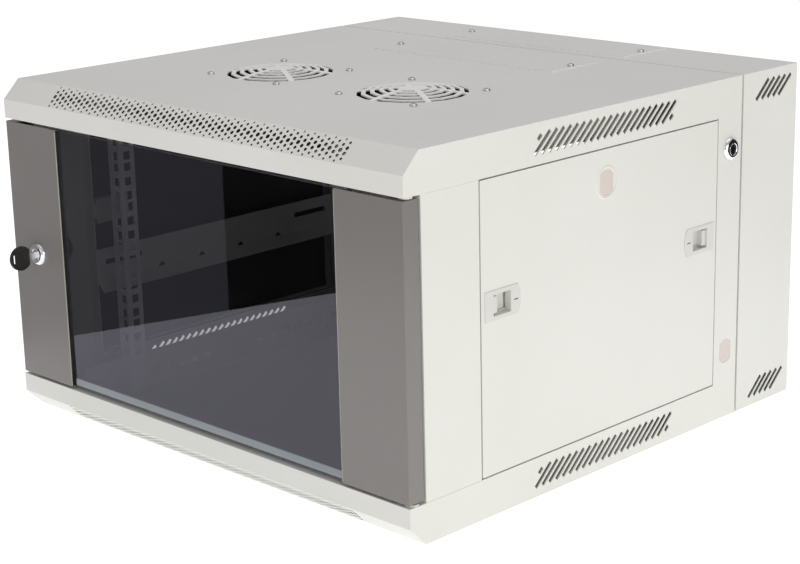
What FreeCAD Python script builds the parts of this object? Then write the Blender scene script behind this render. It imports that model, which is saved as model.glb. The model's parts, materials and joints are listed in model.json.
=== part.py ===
"""Swing-out wall network cabinet, 6 rack units, 600 mm wide and 600 mm deep.

Frame: X to the right seen from the front, +Y towards the wall, Z up.  The wall plane is Y = 0 and
the underside is Z = 0, so the front lip stands at Y = -(main depth + gap + wall section depth).
Millimetres throughout.  Helpers named front(d) give the Y that lies d behind the front lip.
"""
import math
import os

import FreeCAD, Part

# ---------------------------------------------------------------- driving sizes
WIDTH = 600.0
RACK_UNITS = 6
RACK_UNIT = 44.45
BAND = 40.0                     # height of the roof's and the floor's side bands
BAND_TO_RACK = 10.65            # from a band's edge to the first rack unit
MAIN_DEPTH = 500.0              # swinging section
SECTION_GAP = 3.0
WALL_DEPTH = 97.0               # section fixed to the wall
SHEET = 1.5                     # cabinet steel

BEVEL = 20.0                    # front bevel of roof and floor, both ways
LIP_DEPTH = 33.0                # flange behind the front lip
FLANGE = 20.0                   # turned-in rear edges of roof and floor
SEAT = 12.0                     # seat flange that the side panel lies over
DOOR_RECESS = 21.5              # from the front lip to the uprights
UPRIGHT_BACK = 96.4             # rear edge of the front uprights
REAR_UPRIGHT = 40.0             # width of the rear uprights
UPRIGHT_FLANGE = 22.0           # front flange of the front uprights
SIDE_FLANGE = 16.0              # flanges of the uprights that face the side panel
REAR_FLANGE = 38.0              # flanges of the two sections that face each other

VENT_COUNT = 20
VENT_PITCH = 10.1
VENT_LENGTH = 30.0
VENT_WIDTH = 4.6
VENT_ANGLE = 42.0
VENT_FIRST = 184.0              # first vent's centre behind the front lip
WALL_VENT_COUNT = 5
WALL_VENT_FIRST = 34.0          # first vent's centre behind the wall section's front edge

FAN_SIZE = 120.0
FAN_DEPTH = 25.0
FAN_HOLES = 105.0
FAN_SIDE = 99.5                 # fan centre from the middle of the cabinet
FAN_BACK = 218.0                # fan centre behind the front lip
FAN_CORNER = 6.0
FAN_DUCT_R = 57.0
FAN_HUB_R = 20.0
FAN_MOUNT = 4.0                 # motor mount and struts
FAN_STRUT = 5.0
FAN_STRUT_TURN = 25.0
FAN_SHAFT_R = 2.0
FAN_SHAFT_FLOOR = 1.0           # of the mount below the shaft's hole
FAN_TOP_GAP = 2.5
FAN_RUNNING_GAP = 0.5           # between motor mount and hub
FAN_TIP_GAP = 3.0
FAN_BLADES = 7
FAN_BLADE_PITCH = 42.0
GRILLE_RINGS = 4                # besides the middle disc
GRILLE_RISE = 5.0               # of the middle above the roof
GRILLE_ROOT = 1.5               # how far the spokes reach into the roof sheet
GRILLE_SPOKE_PROUD = 0.4        # of the rings
GRILLE_PITCH = 9.3
GRILLE_GAP = 4.8
GRILLE_SPOKE = 6.0
GRILLE_SPOKES = 6
GRILLE_MARGIN = 2.5             # from the fan's edge to the outer ring gap

COVER_WIDTH = 268.0             # cable covers
COVER_DEPTH = 75.0
COVER_LAP = 10.0                # how far a cover laps over its opening
COVER_SCREW_INSET = 6.5
MAIN_COVER_INSET = 69.5         # cover's centre ahead of the swinging section's rear

DOOR_GAP = 3.0                  # above and below the door
DOOR_SIDE_GAP = 1.0
DOOR_SHEET = 1.2
STILE_WIDTH = 87.0
STILE_DEPTH = 19.5
STILE_LIP = 18.0
STILE_RETURN = 2.3              # inner edge of a stile, folded back to the glass tape
GLASS_THICKNESS = 5.0
GLASS_LAP = 16.0                # glass behind each stile
TAPE_WIDTH = 12.0
HINGE_INSET = 5.5               # door axis from the door's outer edge
HINGE_BACK = 9.5                # door axis behind the door's face
HINGE_PIN_R = 2.5
RUNNING_CLEARANCE = 0.05        # radial, for a pin that turns in its hole
BUSH_R = 4.5
BUSH_FLANGE_R = 6.5
BUSH_FLANGE = 2.0
BUSH_LENGTH = 6.5
PIN_REACH = 4.0                 # of the hinge pins into roof and floor
PIN_LENGTH = 26.0
PIN_TRAVEL = 9.0                # of the sprung upper hinge pin
PIN_TAIL = 12.0                 # of the pin left below the stile's end when it is drawn
PIN_HANDLE = 3.0
PIN_HANDLE_REACH = 12.0

RACK_HOLE_SPACING = 465.1       # EIA-310, centre to centre across the rack
RACK_HOLE_EDGE = 7.05           # from a rail's inner edge to its columns of holes
RACK_HOLE = 9.5
RAIL_SHEET = 2.0
RAIL_FACE = 18.3
RAIL_SIDE = 21.0
RAIL_FRONT_BACK = 91.0          # face of the front rails behind the front lip
RAIL_REAR_INSET = 70.0          # face of the rear rails ahead of the swinging section's rear
RAIL_END_GAP = 6.0              # from a rail's end to the sheet below or above
RAIL_FOOT = 25.0

DEPTH_RAIL_OFFSET = 26.0        # from the rack opening to the outer face of the depth rails' web
DEPTH_RAIL_HEIGHT = 42.0
DEPTH_RAIL_FLANGE = 18.0
DEPTH_RAIL_FRONT = 45.0
DEPTH_RAIL_HOLE = 10.0
DEPTH_RAIL_PITCH = 20.0
DEPTH_RAIL_HOLE_Z = 19.5        # hole row above the underside
DEPTH_RAIL_HOLES = 7            # in each of two rows
DEPTH_RAIL_FIRST = 102.0        # front row's first hole behind the front lip
DEPTH_RAIL_LAST = 77.0          # rear row's last hole ahead of the swinging section's rear

BRACE_INSET = 13.5              # outer face of the side braces inside the cabinet's side
BRACE_DROP = 58.0               # lower edge below the middle
BRACE_HEIGHT = 37.5
BRACE_LIP = 11.0
BRACE_SLOT = 52.0
BRACE_SLOT_HEIGHT = 6.0
BRACE_NOTCH = 6.0
BRACE_NOTCH_PITCH = 60.0

PANEL_GAP = 1.5                 # round each side panel
PANEL_SHEET = 1.2
PANEL_RETURN = 11.0
LATCH_RISE = 22.4               # latch centre above the middle
LATCH_LENGTH = 46.0
LATCH_HEIGHT = 29.0
LATCH_BULGE = 3.5
LATCH_CHORDS = 4
LATCH_FIT = 0.5                 # the latch's body inside its rim
GRIP_LENGTH = 6.2
GRIP_RECESS = 1.0               # below the panel's face
LATCH_EDGE = 4.5                # from the panel's edge to the latch
LATCH_DEPTH = 11.0
LATCH_RIM = 0.8                 # how far the latch stands proud of the panel
POCKET_LENGTH = 24.0
POCKET_HEIGHT = 20.5
POCKET_START = 11.5             # from the latch's outer end
POCKET_DEPTH = 7.5
SLIDER_SHEET = 2.6
SLIDER_HEIGHT = 16.0
SLIDER_TRAVEL = 5.0
SLIDER_CLEARANCE = 0.3

LOCK_HEIGHT_OFFSET = 109.5      # section lock above, and its spare hole below, the middle
LOCK_R = 9.0
LOCK_DOME_R = 12.5
LOCK_DOME = 5.0
LOCK_RIM = 2.0                  # upright part of the dome
LOCK_BARREL = 20.0
LOCK_NUT_R = 13.0
LOCK_NUT = 4.0
LOCK_PLUG_R = 6.0
CAM_SHEET = 2.5
CAM_WIDTH = 14.0
CAM_SQUARE = 7.0                # square end of the plug that carries the cam
CAM_SCREW = 2.0                 # end of the plug beyond the cam
CAM_CLEARANCE = 1.5             # between the cam and the flange it passes
DOOR_CAM_LENGTH = 33.0
HOOK_INNER = 28.0
HOOK_OUTER = 32.0
HOOK_ANGLE = 26.0               # how far the hook runs on beyond the arm
HOOK_HEEL = 14.0                # and back on the other side
HOOK_CLEARANCE = 2.5
PLUG_HEIGHT = 26.0              # blanking plugs of unused lock holes
PLUG_WIDTH = 20.0
PLUG_THICKNESS = 2.5
PLUG_RECESS = 0.4
PLUG_COLLAR = 3.0               # how much wider the plug is behind the sheet

KEY_COLLAR = 8.0
KEY_BOW_LENGTH = 24.0
KEY_BOW_HEIGHT = 27.0
KEY_BOW_THICKNESS = 3.0
KEY_HOLE_R = 3.0
KEY_HOLE_INSET = 6.5
KEY_BLADE_LENGTH = 22.0
KEY_BLADE_HEIGHT = 7.0
KEY_BLADE_THICKNESS = 2.0
KEY_CLEARANCE = 0.15

SECTION_HINGE_OFFSET = 5.0      # swing axis outside the left face
KNUCKLE_R = 4.5
KNUCKLE_LENGTH = 30.0
LEAF_SHEET = 2.0
LEAF_WIDTH = 21.0
LEAF_START = 2.5                # from the axis to the leaf
LEAF_NECK_GAP = 0.5             # between a leaf's neck and the section that swings past it
KNUCKLE_GAP = 0.3
SECTION_HINGE_PIN_R = 2.5
SECTION_HINGE_Z = 75.0          # hinge centre above the underside, and below the roof

WALL_HOLE_R = 5.0
WALL_HOLE_INSET_X = 60.0        # from the sides
WALL_HOLE_INSET_Z = 50.0        # from the roof and the underside
WALL_ENTRY_WIDTH = 300.0
WALL_ENTRY_HEIGHT = 120.0
BUFFER_R = 4.0
BUFFER_GAP = 0.3
BUFFER_INSET_X = 7.0
BUFFER_INSET_Z = 29.4

ARC_STEPS = 6                   # chords of a plug's arcs
SMALL_SIDES = 6                 # sides of a small round fastener
ROUND_SIDES = 16                # sides of a larger round piece
INNER_SIDES = 12                # sides of a fan guard's inner rings
SCREW_R = 2.0
SCREW_HEAD_R = 4.0
SCREW_HEAD = 2.4
FAN_SCREW_REACH = 8.0           # of a fan screw into the fan's corner
BOLT_R = 3.0
BOLT_HEAD_R = 5.0
BOLT_HEAD = 4.0
BOLT_NUT_GAP = 0.3

# ---------------------------------------------------------------- derived sizes
RACK_HEIGHT = RACK_UNITS * RACK_UNIT
HEIGHT = RACK_HEIGHT + 2 * (BAND_TO_RACK + BAND)
DEPTH = MAIN_DEPTH + SECTION_GAP + WALL_DEPTH
HALF = WIDTH / 2
MIDDLE = HEIGHT / 2
OPENING_LOW = BAND
OPENING_HIGH = HEIGHT - BAND
RACK_LOW = MIDDLE - RACK_HEIGHT / 2
UPRIGHT_FRONT_OF_REAR = MAIN_DEPTH - REAR_UPRIGHT
WALL_FRONT = MAIN_DEPTH + SECTION_GAP
DOOR_HALF = HALF - DOOR_SIDE_GAP
DOOR_LOW = OPENING_LOW + DOOR_GAP
DOOR_HIGH = OPENING_HIGH - DOOR_GAP
STILE_INNER = DOOR_HALF - STILE_WIDTH
GLASS_FRONT = DOOR_SHEET + STILE_RETURN
SECTION_LOCK_BACK = MAIN_DEPTH - REAR_UPRIGHT / 2
SECTION_LOCK_Z = MIDDLE + LOCK_HEIGHT_OFFSET
SPARE_HOLE_Z = MIDDLE - LOCK_HEIGHT_OFFSET
DOOR_LOCK_X = -(DOOR_HALF - STILE_WIDTH / 2)
MAIN_COVER_BACK = MAIN_DEPTH - MAIN_COVER_INSET
WALL_COVER_BACK = WALL_FRONT + WALL_DEPTH / 2
RAIL_REAR_BACK = MAIN_DEPTH - RAIL_REAR_INSET
RACK_OPENING = RACK_HOLE_SPACING - 2 * RACK_HOLE_EDGE   # between the rails
DEPTH_RAIL_X = RACK_OPENING / 2 + DEPTH_RAIL_OFFSET
BRACE_X = HALF - BRACE_INSET
BRACE_LOW = MIDDLE - BRACE_DROP
GRILLE_R = FAN_SIZE / 2 - GRILLE_MARGIN
PANEL_FRONT = UPRIGHT_BACK + PANEL_GAP
PANEL_BACK = UPRIGHT_FRONT_OF_REAR - PANEL_GAP
PANEL_LOW = OPENING_LOW + PANEL_GAP
PANEL_HIGH = OPENING_HIGH - PANEL_GAP

SOLIDS = {}


# ---------------------------------------------------------------- helpers
def vec(x, y, z):
    return FreeCAD.Vector(x, y, z)


def front(distance):
    """Y of a place that lies this far behind the front lip."""
    return distance - DEPTH


def box(x0, x1, y0, y1, z0, z1):
    return Part.makeBox(x1 - x0, y1 - y0, z1 - z0, vec(x0, y0, z0))


def cylinder(radius, length, base, axis):
    return Part.makeCylinder(radius, length, base, axis)


def prism(points, sweep):
    return Part.Face(Part.makePolygon(points + [points[0]])).extrude(sweep)


def prism_x(points, x0, x1):
    """Outline of (y, z) points, extruded from x0 to x1."""
    return prism([vec(x0, y, z) for y, z in points], vec(x1 - x0, 0, 0))


def prism_y(points, y0, y1):
    """Outline of (x, z) points, extruded from y0 to y1."""
    return prism([vec(x, y0, z) for x, z in points], vec(0, y1 - y0, 0))


def prism_z(points, z0, z1):
    """Outline of (x, y) points, extruded from z0 to z1."""
    return prism([vec(x, y, z0) for x, y in points], vec(0, 0, z1 - z0))


def bar(radius, length, base, axis, sides):
    """Many-sided bar along one of the axes, for a round piece that nothing turns in."""
    if axis.x:
        return prism_x(circle(radius, base.y, base.z, sides), base.x, base.x + length)
    if axis.y:
        return prism_y(circle(radius, base.x, base.z, sides), base.y, base.y + length)
    return prism_z(circle(radius, base.x, base.y, sides), base.z, base.z + length)


def folded(points, thickness):
    """Closed outline of a folded sheet: the outer line, and the same line offset to its left."""
    inner = []
    for i, (u, v) in enumerate(points):
        normals = []
        for a, b in ((i - 1, i), (i, i + 1)):
            if a < 0 or b >= len(points):
                continue
            du, dv = points[b][0] - points[a][0], points[b][1] - points[a][1]
            length = math.hypot(du, dv)
            normals.append((-dv / length, du / length))
        nu = sum(n[0] for n in normals) / len(normals)
        nv = sum(n[1] for n in normals) / len(normals)
        scale = thickness / (nu * nu + nv * nv)
        inner.append((u + nu * scale, v + nv * scale))
    return list(points) + inner[::-1]


def fuse(shapes):
    return shapes[0].multiFuse(shapes[1:]).removeSplitter()


def cut(shape, tools):
    return shape.cut(Part.makeCompound(tools))


def mirror_x(shape):
    return shape.mirror(vec(0, 0, 0), vec(1, 0, 0))


def mirror_z(shape):
    """Mirror in the cabinet's middle height."""
    return shape.mirror(vec(0, 0, MIDDLE), vec(0, 0, 1))


def keep(name, shapes):
    """Store a node's solids, one or several separate pieces."""
    SOLIDS[name] = shapes if isinstance(shapes, list) else [shapes]


def circle(radius, u, v, sides=ROUND_SIDES):
    """Many-sided ring of points round (u, v)."""
    angles = [2 * math.pi * (k + 0.5) / sides for k in range(sides)]
    return [(u + radius * math.cos(a), v + radius * math.sin(a)) for a in angles]


def hexagon(radius):
    return circle(radius, 0, 0, 6)


def double_d(height, width, x0, x1, y, z):
    """Round disc along X with two upright flats, as a lock hole has."""
    radius = height / 2
    limit = math.asin(width / height)
    outline = []
    for turn in (0, math.pi):
        for k in range(ARC_STEPS + 1):
            angle = turn - limit + 2 * limit * k / ARC_STEPS
            outline.append((y + radius * math.sin(angle), z + radius * math.cos(angle)))
    return prism_x(outline, x0, x1)


# ---------------------------------------------------------------- sheet openings
def vent_slots(first, count, pitch, z, x0, x1, ends):
    """Slanted slots through a side band, with a short piece of a slot at each end."""
    along_y = math.cos(math.radians(VENT_ANGLE))
    along_z = math.sin(math.radians(VENT_ANGLE))

    def slot(y, low, high):
        half = VENT_WIDTH / 2
        corners = []
        for reach, side in ((low, -half), (high, -half), (high, half), (low, half)):
            corners.append((y + reach * along_y - side * along_z, z + reach * along_z + side * along_y))
        return prism_x(corners, x0, x1)

    reach = VENT_LENGTH / 2
    slots = [slot(front(first + k * pitch), -reach, reach) for k in range(count)]
    if ends:
        slots.append(slot(front(first - pitch), reach / 3, reach * 0.8))
        slots.append(slot(front(first + count * pitch), -reach * 0.8, -reach / 3))
    return slots


def dome_height(radius):
    """Height of a fan guard's upper face above the roof."""
    return GRILLE_RISE * (1 - (radius / GRILLE_R) ** 2)


def fan_guard(x, y):
    """Pressed fan guard: flat rings that step up to a middle disc, joined by sloping spokes."""
    disc_radius = GRILLE_R - GRILLE_RINGS * GRILLE_PITCH - GRILLE_GAP
    pieces = []
    for ring in range(GRILLE_RINGS + 1):
        outer = GRILLE_R - ring * GRILLE_PITCH - GRILLE_GAP
        inner = outer - (GRILLE_PITCH - GRILLE_GAP)
        top = HEIGHT + dome_height((outer + inner) / 2)
        sides = ROUND_SIDES if ring < 2 else INNER_SIDES
        annulus = prism_z(circle(outer, x, y, sides), top - SHEET, top)
        if ring < GRILLE_RINGS:
            annulus = annulus.cut(prism_z(circle(inner, x, y, sides), top - SHEET - 1, top + 1))
        pieces.append(annulus)
    stations = [disc_radius - 1, (disc_radius + GRILLE_R) / 2, GRILLE_R, GRILLE_R + GRILLE_ROOT]
    line = [(y + r, HEIGHT + max(dome_height(r), 0) + GRILLE_SPOKE_PROUD) for r in stations]
    profile = line + [(u, v - SHEET) for u, v in reversed(line)]
    for k in range(GRILLE_SPOKES):
        spoke = prism_x(profile, x - GRILLE_SPOKE / 2, x + GRILLE_SPOKE / 2)
        spoke.rotate(vec(x, y, 0), vec(0, 0, 1), 360.0 * k / GRILLE_SPOKES)
        pieces.append(spoke)
    return pieces


def fan_corners():
    """Screw places of one fan, relative to its centre."""
    half = FAN_HOLES / 2
    return [(sx * half, sy * half) for sx in (-1, 1) for sy in (-1, 1)]


def cover_screws(centre_back):
    reach = COVER_WIDTH / 2 - COVER_SCREW_INSET
    return [(-reach, front(centre_back)), (reach, front(centre_back))]


def cover_opening(centre_back, z0, z1):
    half = COVER_WIDTH / 2 - 2 * COVER_SCREW_INSET - SCREW_HEAD_R
    y = front(centre_back)
    reach = COVER_DEPTH / 2 - COVER_LAP
    return box(-half, half, y - reach, y + reach, z0, z1)


def screw_holes(places, z0, z1):
    return [bar(SCREW_R, z1 - z0, vec(x, y, z0), vec(0, 0, 1), SMALL_SIDES) for x, y in places]


# ---------------------------------------------------------------- swinging section: sheet frame
def roof_sheet():
    """Roof with bevelled front lip, rear flange, side bands and the seat flanges of the side panels."""
    profile = folded(
        [
            (front(LIP_DEPTH), OPENING_HIGH),
            (front(0), OPENING_HIGH),
            (front(0), HEIGHT - BEVEL),
            (front(BEVEL), HEIGHT),
            (front(MAIN_DEPTH), HEIGHT),
            (front(MAIN_DEPTH), HEIGHT - FLANGE),
        ][::-1],
        SHEET,
    )
    roof = prism_x(profile, -HALF, HALF)
    side_gap = HALF - REAR_FLANGE
    rear_ends = [
        box(s * HALF if s < 0 else side_gap, -side_gap if s < 0 else HALF, front(MAIN_DEPTH - SHEET) - 1,
            front(MAIN_DEPTH) + 1, HEIGHT - FLANGE - 1, HEIGHT - SHEET)
        for s in (-1, 1)
    ]
    roof = cut(roof, rear_ends)
    band = prism_x(
        [
            (front(0), OPENING_HIGH),
            (front(0), HEIGHT - BEVEL),
            (front(BEVEL), HEIGHT),
            (front(MAIN_DEPTH), HEIGHT),
            (front(UPRIGHT_FRONT_OF_REAR), OPENING_HIGH),
        ],
        HALF - SHEET,
        HALF,
    )
    seat = box(HALF - SEAT, HALF, front(UPRIGHT_BACK), front(UPRIGHT_FRONT_OF_REAR), OPENING_HIGH,
               OPENING_HIGH + SHEET)
    return fuse([roof, band, seat, mirror_x(band), mirror_x(seat)])


def hinge_hole(z0, z1):
    start = vec(DOOR_HALF - HINGE_INSET, front(HINGE_BACK), z0)
    return bar(BUSH_R, z1 - z0, start, vec(0, 0, 1), ROUND_SIDES // 2)


def main_sheets():
    roof = roof_sheet()
    floor = mirror_z(roof)
    roof_tools = vent_slots(VENT_FIRST, VENT_COUNT, VENT_PITCH, HEIGHT - BAND / 2, -HALF - 1, HALF + 1, True)
    floor_tools = vent_slots(VENT_FIRST, VENT_COUNT, VENT_PITCH, BAND / 2, -HALF - 1, HALF + 1, True)
    top = (HEIGHT - SHEET - 1, HEIGHT + 1)
    for side in (-1, 1):
        x, y = side * FAN_SIDE, front(FAN_BACK)
        roof_tools.append(prism_z(circle(GRILLE_R, x, y), *top))
        roof_tools += screw_holes([(x + dx, y + dy) for dx, dy in fan_corners()], *top)
    roof_tools.append(cover_opening(MAIN_COVER_BACK, *top))
    roof_tools += screw_holes(cover_screws(MAIN_COVER_BACK), *top)
    floor_tools.append(cover_opening(MAIN_COVER_BACK, -1, SHEET + 1))
    floor_tools += screw_holes(cover_screws(MAIN_COVER_BACK), -1, SHEET + 1)
    roof_tools.append(hinge_hole(OPENING_HIGH - 1, OPENING_HIGH + SHEET + 1))
    floor_tools.append(hinge_hole(OPENING_LOW - SHEET - 1, OPENING_LOW + 1))
    guards = fan_guard(-FAN_SIDE, front(FAN_BACK)) + fan_guard(FAN_SIDE, front(FAN_BACK))
    keep("roof_panel", fuse([cut(roof, roof_tools)] + guards))
    keep("floor_panel", cut(floor, floor_tools))


def front_uprights():
    """Channel with a flange behind the door's edge and one beside the side panel."""
    inner_x, flange_x = HALF - SIDE_FLANGE, HALF - UPRIGHT_FLANGE
    profile = folded(
        [
            (flange_x, front(DOOR_RECESS)),
            (HALF, front(DOOR_RECESS)),
            (HALF, front(UPRIGHT_BACK)),
            (inner_x, front(UPRIGHT_BACK)),
        ],
        SHEET,
    )
    upright = prism_z(profile, OPENING_LOW, OPENING_HIGH)
    keep("front_upright_right", upright)
    keep("front_upright_left", mirror_x(upright))


def hook_slot(y0, y1, low, high):
    """Slot that the section lock's hook swings through."""
    x = HALF - LOCK_BARREL
    return box(x - CAM_SHEET - HOOK_CLEARANCE, x + HOOK_CLEARANCE, y0, y1, SECTION_LOCK_Z + low, SECTION_LOCK_Z + high)


def rear_uprights():
    """Channel mitred into the side bands; its rear flange faces the wall section."""
    y0, y1 = front(UPRIGHT_FRONT_OF_REAR), front(MAIN_DEPTH)
    face = prism_x(
        [
            (y0, OPENING_LOW),
            (y1 - SHEET, SHEET),
            (y1, SHEET),
            (y1, HEIGHT - SHEET),
            (y1 - SHEET, HEIGHT - SHEET),
            (y0, OPENING_HIGH),
        ],
        HALF - SHEET,
        HALF,
    )
    panel_flange = box(HALF - SIDE_FLANGE, HALF - SHEET, y0, y0 + SHEET, OPENING_LOW, OPENING_HIGH)
    rear_flange = box(HALF - REAR_FLANGE, HALF - SHEET, y1 - SHEET, y1, SHEET, HEIGHT - SHEET)
    upright = fuse([face, panel_flange, rear_flange])
    keep("rear_upright_left", mirror_x(upright))
    reach = HOOK_OUTER + HOOK_CLEARANCE
    y = front(SECTION_LOCK_BACK)
    tools = [
        bar(LOCK_R, 2 * SHEET, vec(HALF - 1.5 * SHEET, y, SECTION_LOCK_Z), vec(1, 0, 0), ROUND_SIDES),
        double_d(PLUG_HEIGHT, PLUG_WIDTH, HALF - 2 * SHEET, HALF + 1, y, SPARE_HOLE_Z),
        hook_slot(y1 - 2 * SHEET, y1 + 1, -reach, reach),
    ]
    keep("rear_upright_right", cut(upright, tools))


def side_braces():
    """Stiffener half way up each side, with a sloping lower lip, end slots and a row of notches."""
    y0, y1 = front(UPRIGHT_BACK), front(UPRIGHT_FRONT_OF_REAR)
    x_out, x_in = BRACE_X, BRACE_X - SHEET
    top = BRACE_LOW + BRACE_HEIGHT
    profile = folded(
        [(x_out, top), (x_out, BRACE_LOW), (x_out - BRACE_LIP, BRACE_LOW - BRACE_LIP)],
        -SHEET,
    )
    brace = prism_y(profile, y0, y1)
    slot_z = BRACE_LOW + BRACE_HEIGHT * 0.57
    half = BRACE_SLOT_HEIGHT / 2
    tools = []
    for start in (y0 + BRACE_SLOT_HEIGHT * 2, y1 - BRACE_SLOT_HEIGHT * 2 - BRACE_SLOT):
        tools.append(box(x_in - 1, x_out + 1, start, start + BRACE_SLOT, slot_z - half, slot_z + half))
    middle = (y0 + y1) / 2
    for k in range(4):
        y = middle + (k - 1.5) * BRACE_NOTCH_PITCH
        tools.append(prism_x([(y - BRACE_NOTCH, BRACE_LOW + 1), (y + BRACE_NOTCH, BRACE_LOW + 1),
                              (y, BRACE_LOW + 1 + BRACE_NOTCH)], x_in - 1, x_out + 1))
    brace = cut(brace, tools)
    keep("side_brace_right", brace)
    keep("side_brace_left", mirror_x(brace))


def depth_rail_holes():
    """Places of the square holes behind the front lip."""
    rear_first = MAIN_DEPTH - DEPTH_RAIL_LAST - (DEPTH_RAIL_HOLES - 1) * DEPTH_RAIL_PITCH
    rows = (DEPTH_RAIL_FIRST, rear_first)
    return [first + k * DEPTH_RAIL_PITCH for first in rows for k in range(DEPTH_RAIL_HOLES)]


def depth_rails():
    """Angles on the floor and under the roof that carry the rack rails, with rows of square holes."""
    x_web = DEPTH_RAIL_X
    profile = folded(
        [
            (x_web - DEPTH_RAIL_FLANGE, SHEET),
            (x_web, SHEET),
            (x_web, SHEET + DEPTH_RAIL_HEIGHT),
        ],
        SHEET,
    )
    rail = prism_y(profile, front(DEPTH_RAIL_FRONT), front(MAIN_DEPTH - SHEET))
    half = DEPTH_RAIL_HOLE / 2
    holes = []
    for back in depth_rail_holes():
        y = front(back)
        holes.append(box(x_web - 2 * SHEET, x_web + SHEET, y - half, y + half,
                         DEPTH_RAIL_HOLE_Z - half, DEPTH_RAIL_HOLE_Z + half))
    rail = cut(rail, holes)
    upper = mirror_z(rail)
    keep("depth_rails", [rail, mirror_x(rail), upper, mirror_x(upper)])


# ---------------------------------------------------------------- rack rails
def rack_hole_heights():
    heights = []
    for unit in range(RACK_UNITS):
        base = RACK_LOW + unit * RACK_UNIT
        heights += [base + 6.35, base + RACK_UNIT / 2, base + RACK_UNIT - 6.35]
    return heights


def rail_bolt_back(rail_back, inwards):
    """The depth rail's hole nearest to the middle of a rail's foot, behind the front lip."""
    wanted = rail_back + inwards * (RAIL_SHEET + RAIL_FOOT) / 2
    return min(depth_rail_holes(), key=lambda back: abs(back - wanted))


def rack_rail(rail_back, inwards, side_holes):
    """Right-hand L rail with square holes and feet that bolt to the depth rails."""
    inner = RACK_OPENING / 2
    web_x = DEPTH_RAIL_X - SHEET
    low, high = SHEET + RAIL_END_GAP, HEIGHT - SHEET - RAIL_END_GAP

    def plate(x0, x1, reach0, reach1, z0, z1):
        y0, y1 = sorted((front(rail_back) + inwards * reach0, front(rail_back) + inwards * reach1))
        return box(x0, x1, y0, y1, z0, z1)

    pieces = [
        plate(inner, inner + RAIL_FACE, 0, RAIL_SHEET, low, high),
        plate(inner, inner + RAIL_SHEET, 0, RAIL_SIDE, low, high),
    ]
    for z in (DEPTH_RAIL_HOLE_Z, HEIGHT - DEPTH_RAIL_HOLE_Z):
        z0, z1 = z - RAIL_FOOT / 2, z + RAIL_FOOT / 2
        pieces.append(plate(inner, web_x, 0, RAIL_SHEET, z0, z1))
        pieces.append(plate(web_x - RAIL_SHEET, web_x, 0, RAIL_FOOT, z0, z1))
    half = RACK_HOLE / 2
    hole_x = RACK_HOLE_SPACING / 2
    side_reach = (RAIL_SHEET + RAIL_SIDE) / 2
    tools = []
    for z in rack_hole_heights():
        tools.append(plate(hole_x - half, hole_x + half, -1, RAIL_SHEET + 1, z - half, z + half))
        if side_holes:
            tools.append(plate(inner - 1, inner + RAIL_SHEET + 1, side_reach - half, side_reach + half,
                               z - half, z + half))
    bolt_y = front(rail_bolt_back(rail_back, inwards))
    for z in (DEPTH_RAIL_HOLE_Z, HEIGHT - DEPTH_RAIL_HOLE_Z):
        start = vec(web_x - 1.5 * RAIL_SHEET, bolt_y, z)
        tools.append(bar(BOLT_R, 2 * RAIL_SHEET, start, vec(1, 0, 0), SMALL_SIDES))
    return cut(fuse(pieces), tools)


def rack_rails():
    for place, back, inwards in (("front", RAIL_FRONT_BACK, 1), ("rear", RAIL_REAR_BACK, -1)):
        rail = rack_rail(back, inwards, place == "front")
        keep("rack_rail_" + place + "_right", rail)
        keep("rack_rail_" + place + "_left", mirror_x(rail))


def rail_bolts():
    """Hexagon bolts that clamp the rails' feet to the depth rails, with a square nut in the hole."""
    web_x = DEPTH_RAIL_X - SHEET
    head_x = web_x - RAIL_SHEET
    half = DEPTH_RAIL_HOLE / 2 - BOLT_NUT_GAP
    bolts = []
    for back, inwards in ((RAIL_FRONT_BACK, 1), (RAIL_REAR_BACK, -1)):
        y = front(rail_bolt_back(back, inwards))
        for z in (DEPTH_RAIL_HOLE_Z, HEIGHT - DEPTH_RAIL_HOLE_Z):
            head = prism_x([(y + u, z + v) for u, v in hexagon(BOLT_HEAD_R)], head_x - BOLT_HEAD, head_x)
            shank = bar(BOLT_R, RAIL_SHEET, vec(head_x, y, z), vec(1, 0, 0), SMALL_SIDES)
            nut = box(web_x, web_x + BOLT_HEAD, y - half, y + half, z - half, z + half)
            bolt = fuse([head, shank, nut])
            bolts += [bolt, mirror_x(bolt)]
    keep("rail_bolts", bolts)


# ---------------------------------------------------------------- covers, screws and fans
def cable_cover(centre_back, z0):
    """Plain cover plate with a screw at each end, lying on a sheet whose face is at z0."""
    y = front(centre_back)
    plate = box(-COVER_WIDTH / 2, COVER_WIDTH / 2, y - COVER_DEPTH / 2, y + COVER_DEPTH / 2, z0, z0 + SHEET)
    return cut(plate, screw_holes(cover_screws(centre_back), z0 - 1, z0 + SHEET + 1))


def pan_screw(x, y, seat_z, length):
    """Pan head screw standing on a surface, its shank reaching down through it."""
    up = vec(0, 0, 1)
    head = bar(SCREW_HEAD_R, SCREW_HEAD, vec(x, y, seat_z), up, SMALL_SIDES)
    shank = bar(SCREW_R, length, vec(x, y, seat_z - length), up, SMALL_SIDES)
    return fuse([head, shank])


def covers_and_screws():
    """Covers lie on the roof and, inside, on the floor; their screws end flush with the far face."""
    sections = {"main": MAIN_COVER_BACK, "wall": WALL_COVER_BACK}
    for name, back in sections.items():
        keep(name + "_cable_covers", [cable_cover(back, HEIGHT), cable_cover(back, SHEET)])
        screws = []
        for seat in (HEIGHT + SHEET, 2 * SHEET):
            screws += [pan_screw(x, y, seat, 2 * SHEET) for x, y in cover_screws(back)]
        if name == "main":
            for side in (-1, 1):
                for dx, dy in fan_corners():
                    place = (side * FAN_SIDE + dx, front(FAN_BACK) + dy)
                    screws.append(pan_screw(*place, HEIGHT, SHEET + FAN_SCREW_REACH))
        keep(name + "_sheet_screws", screws)


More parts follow.
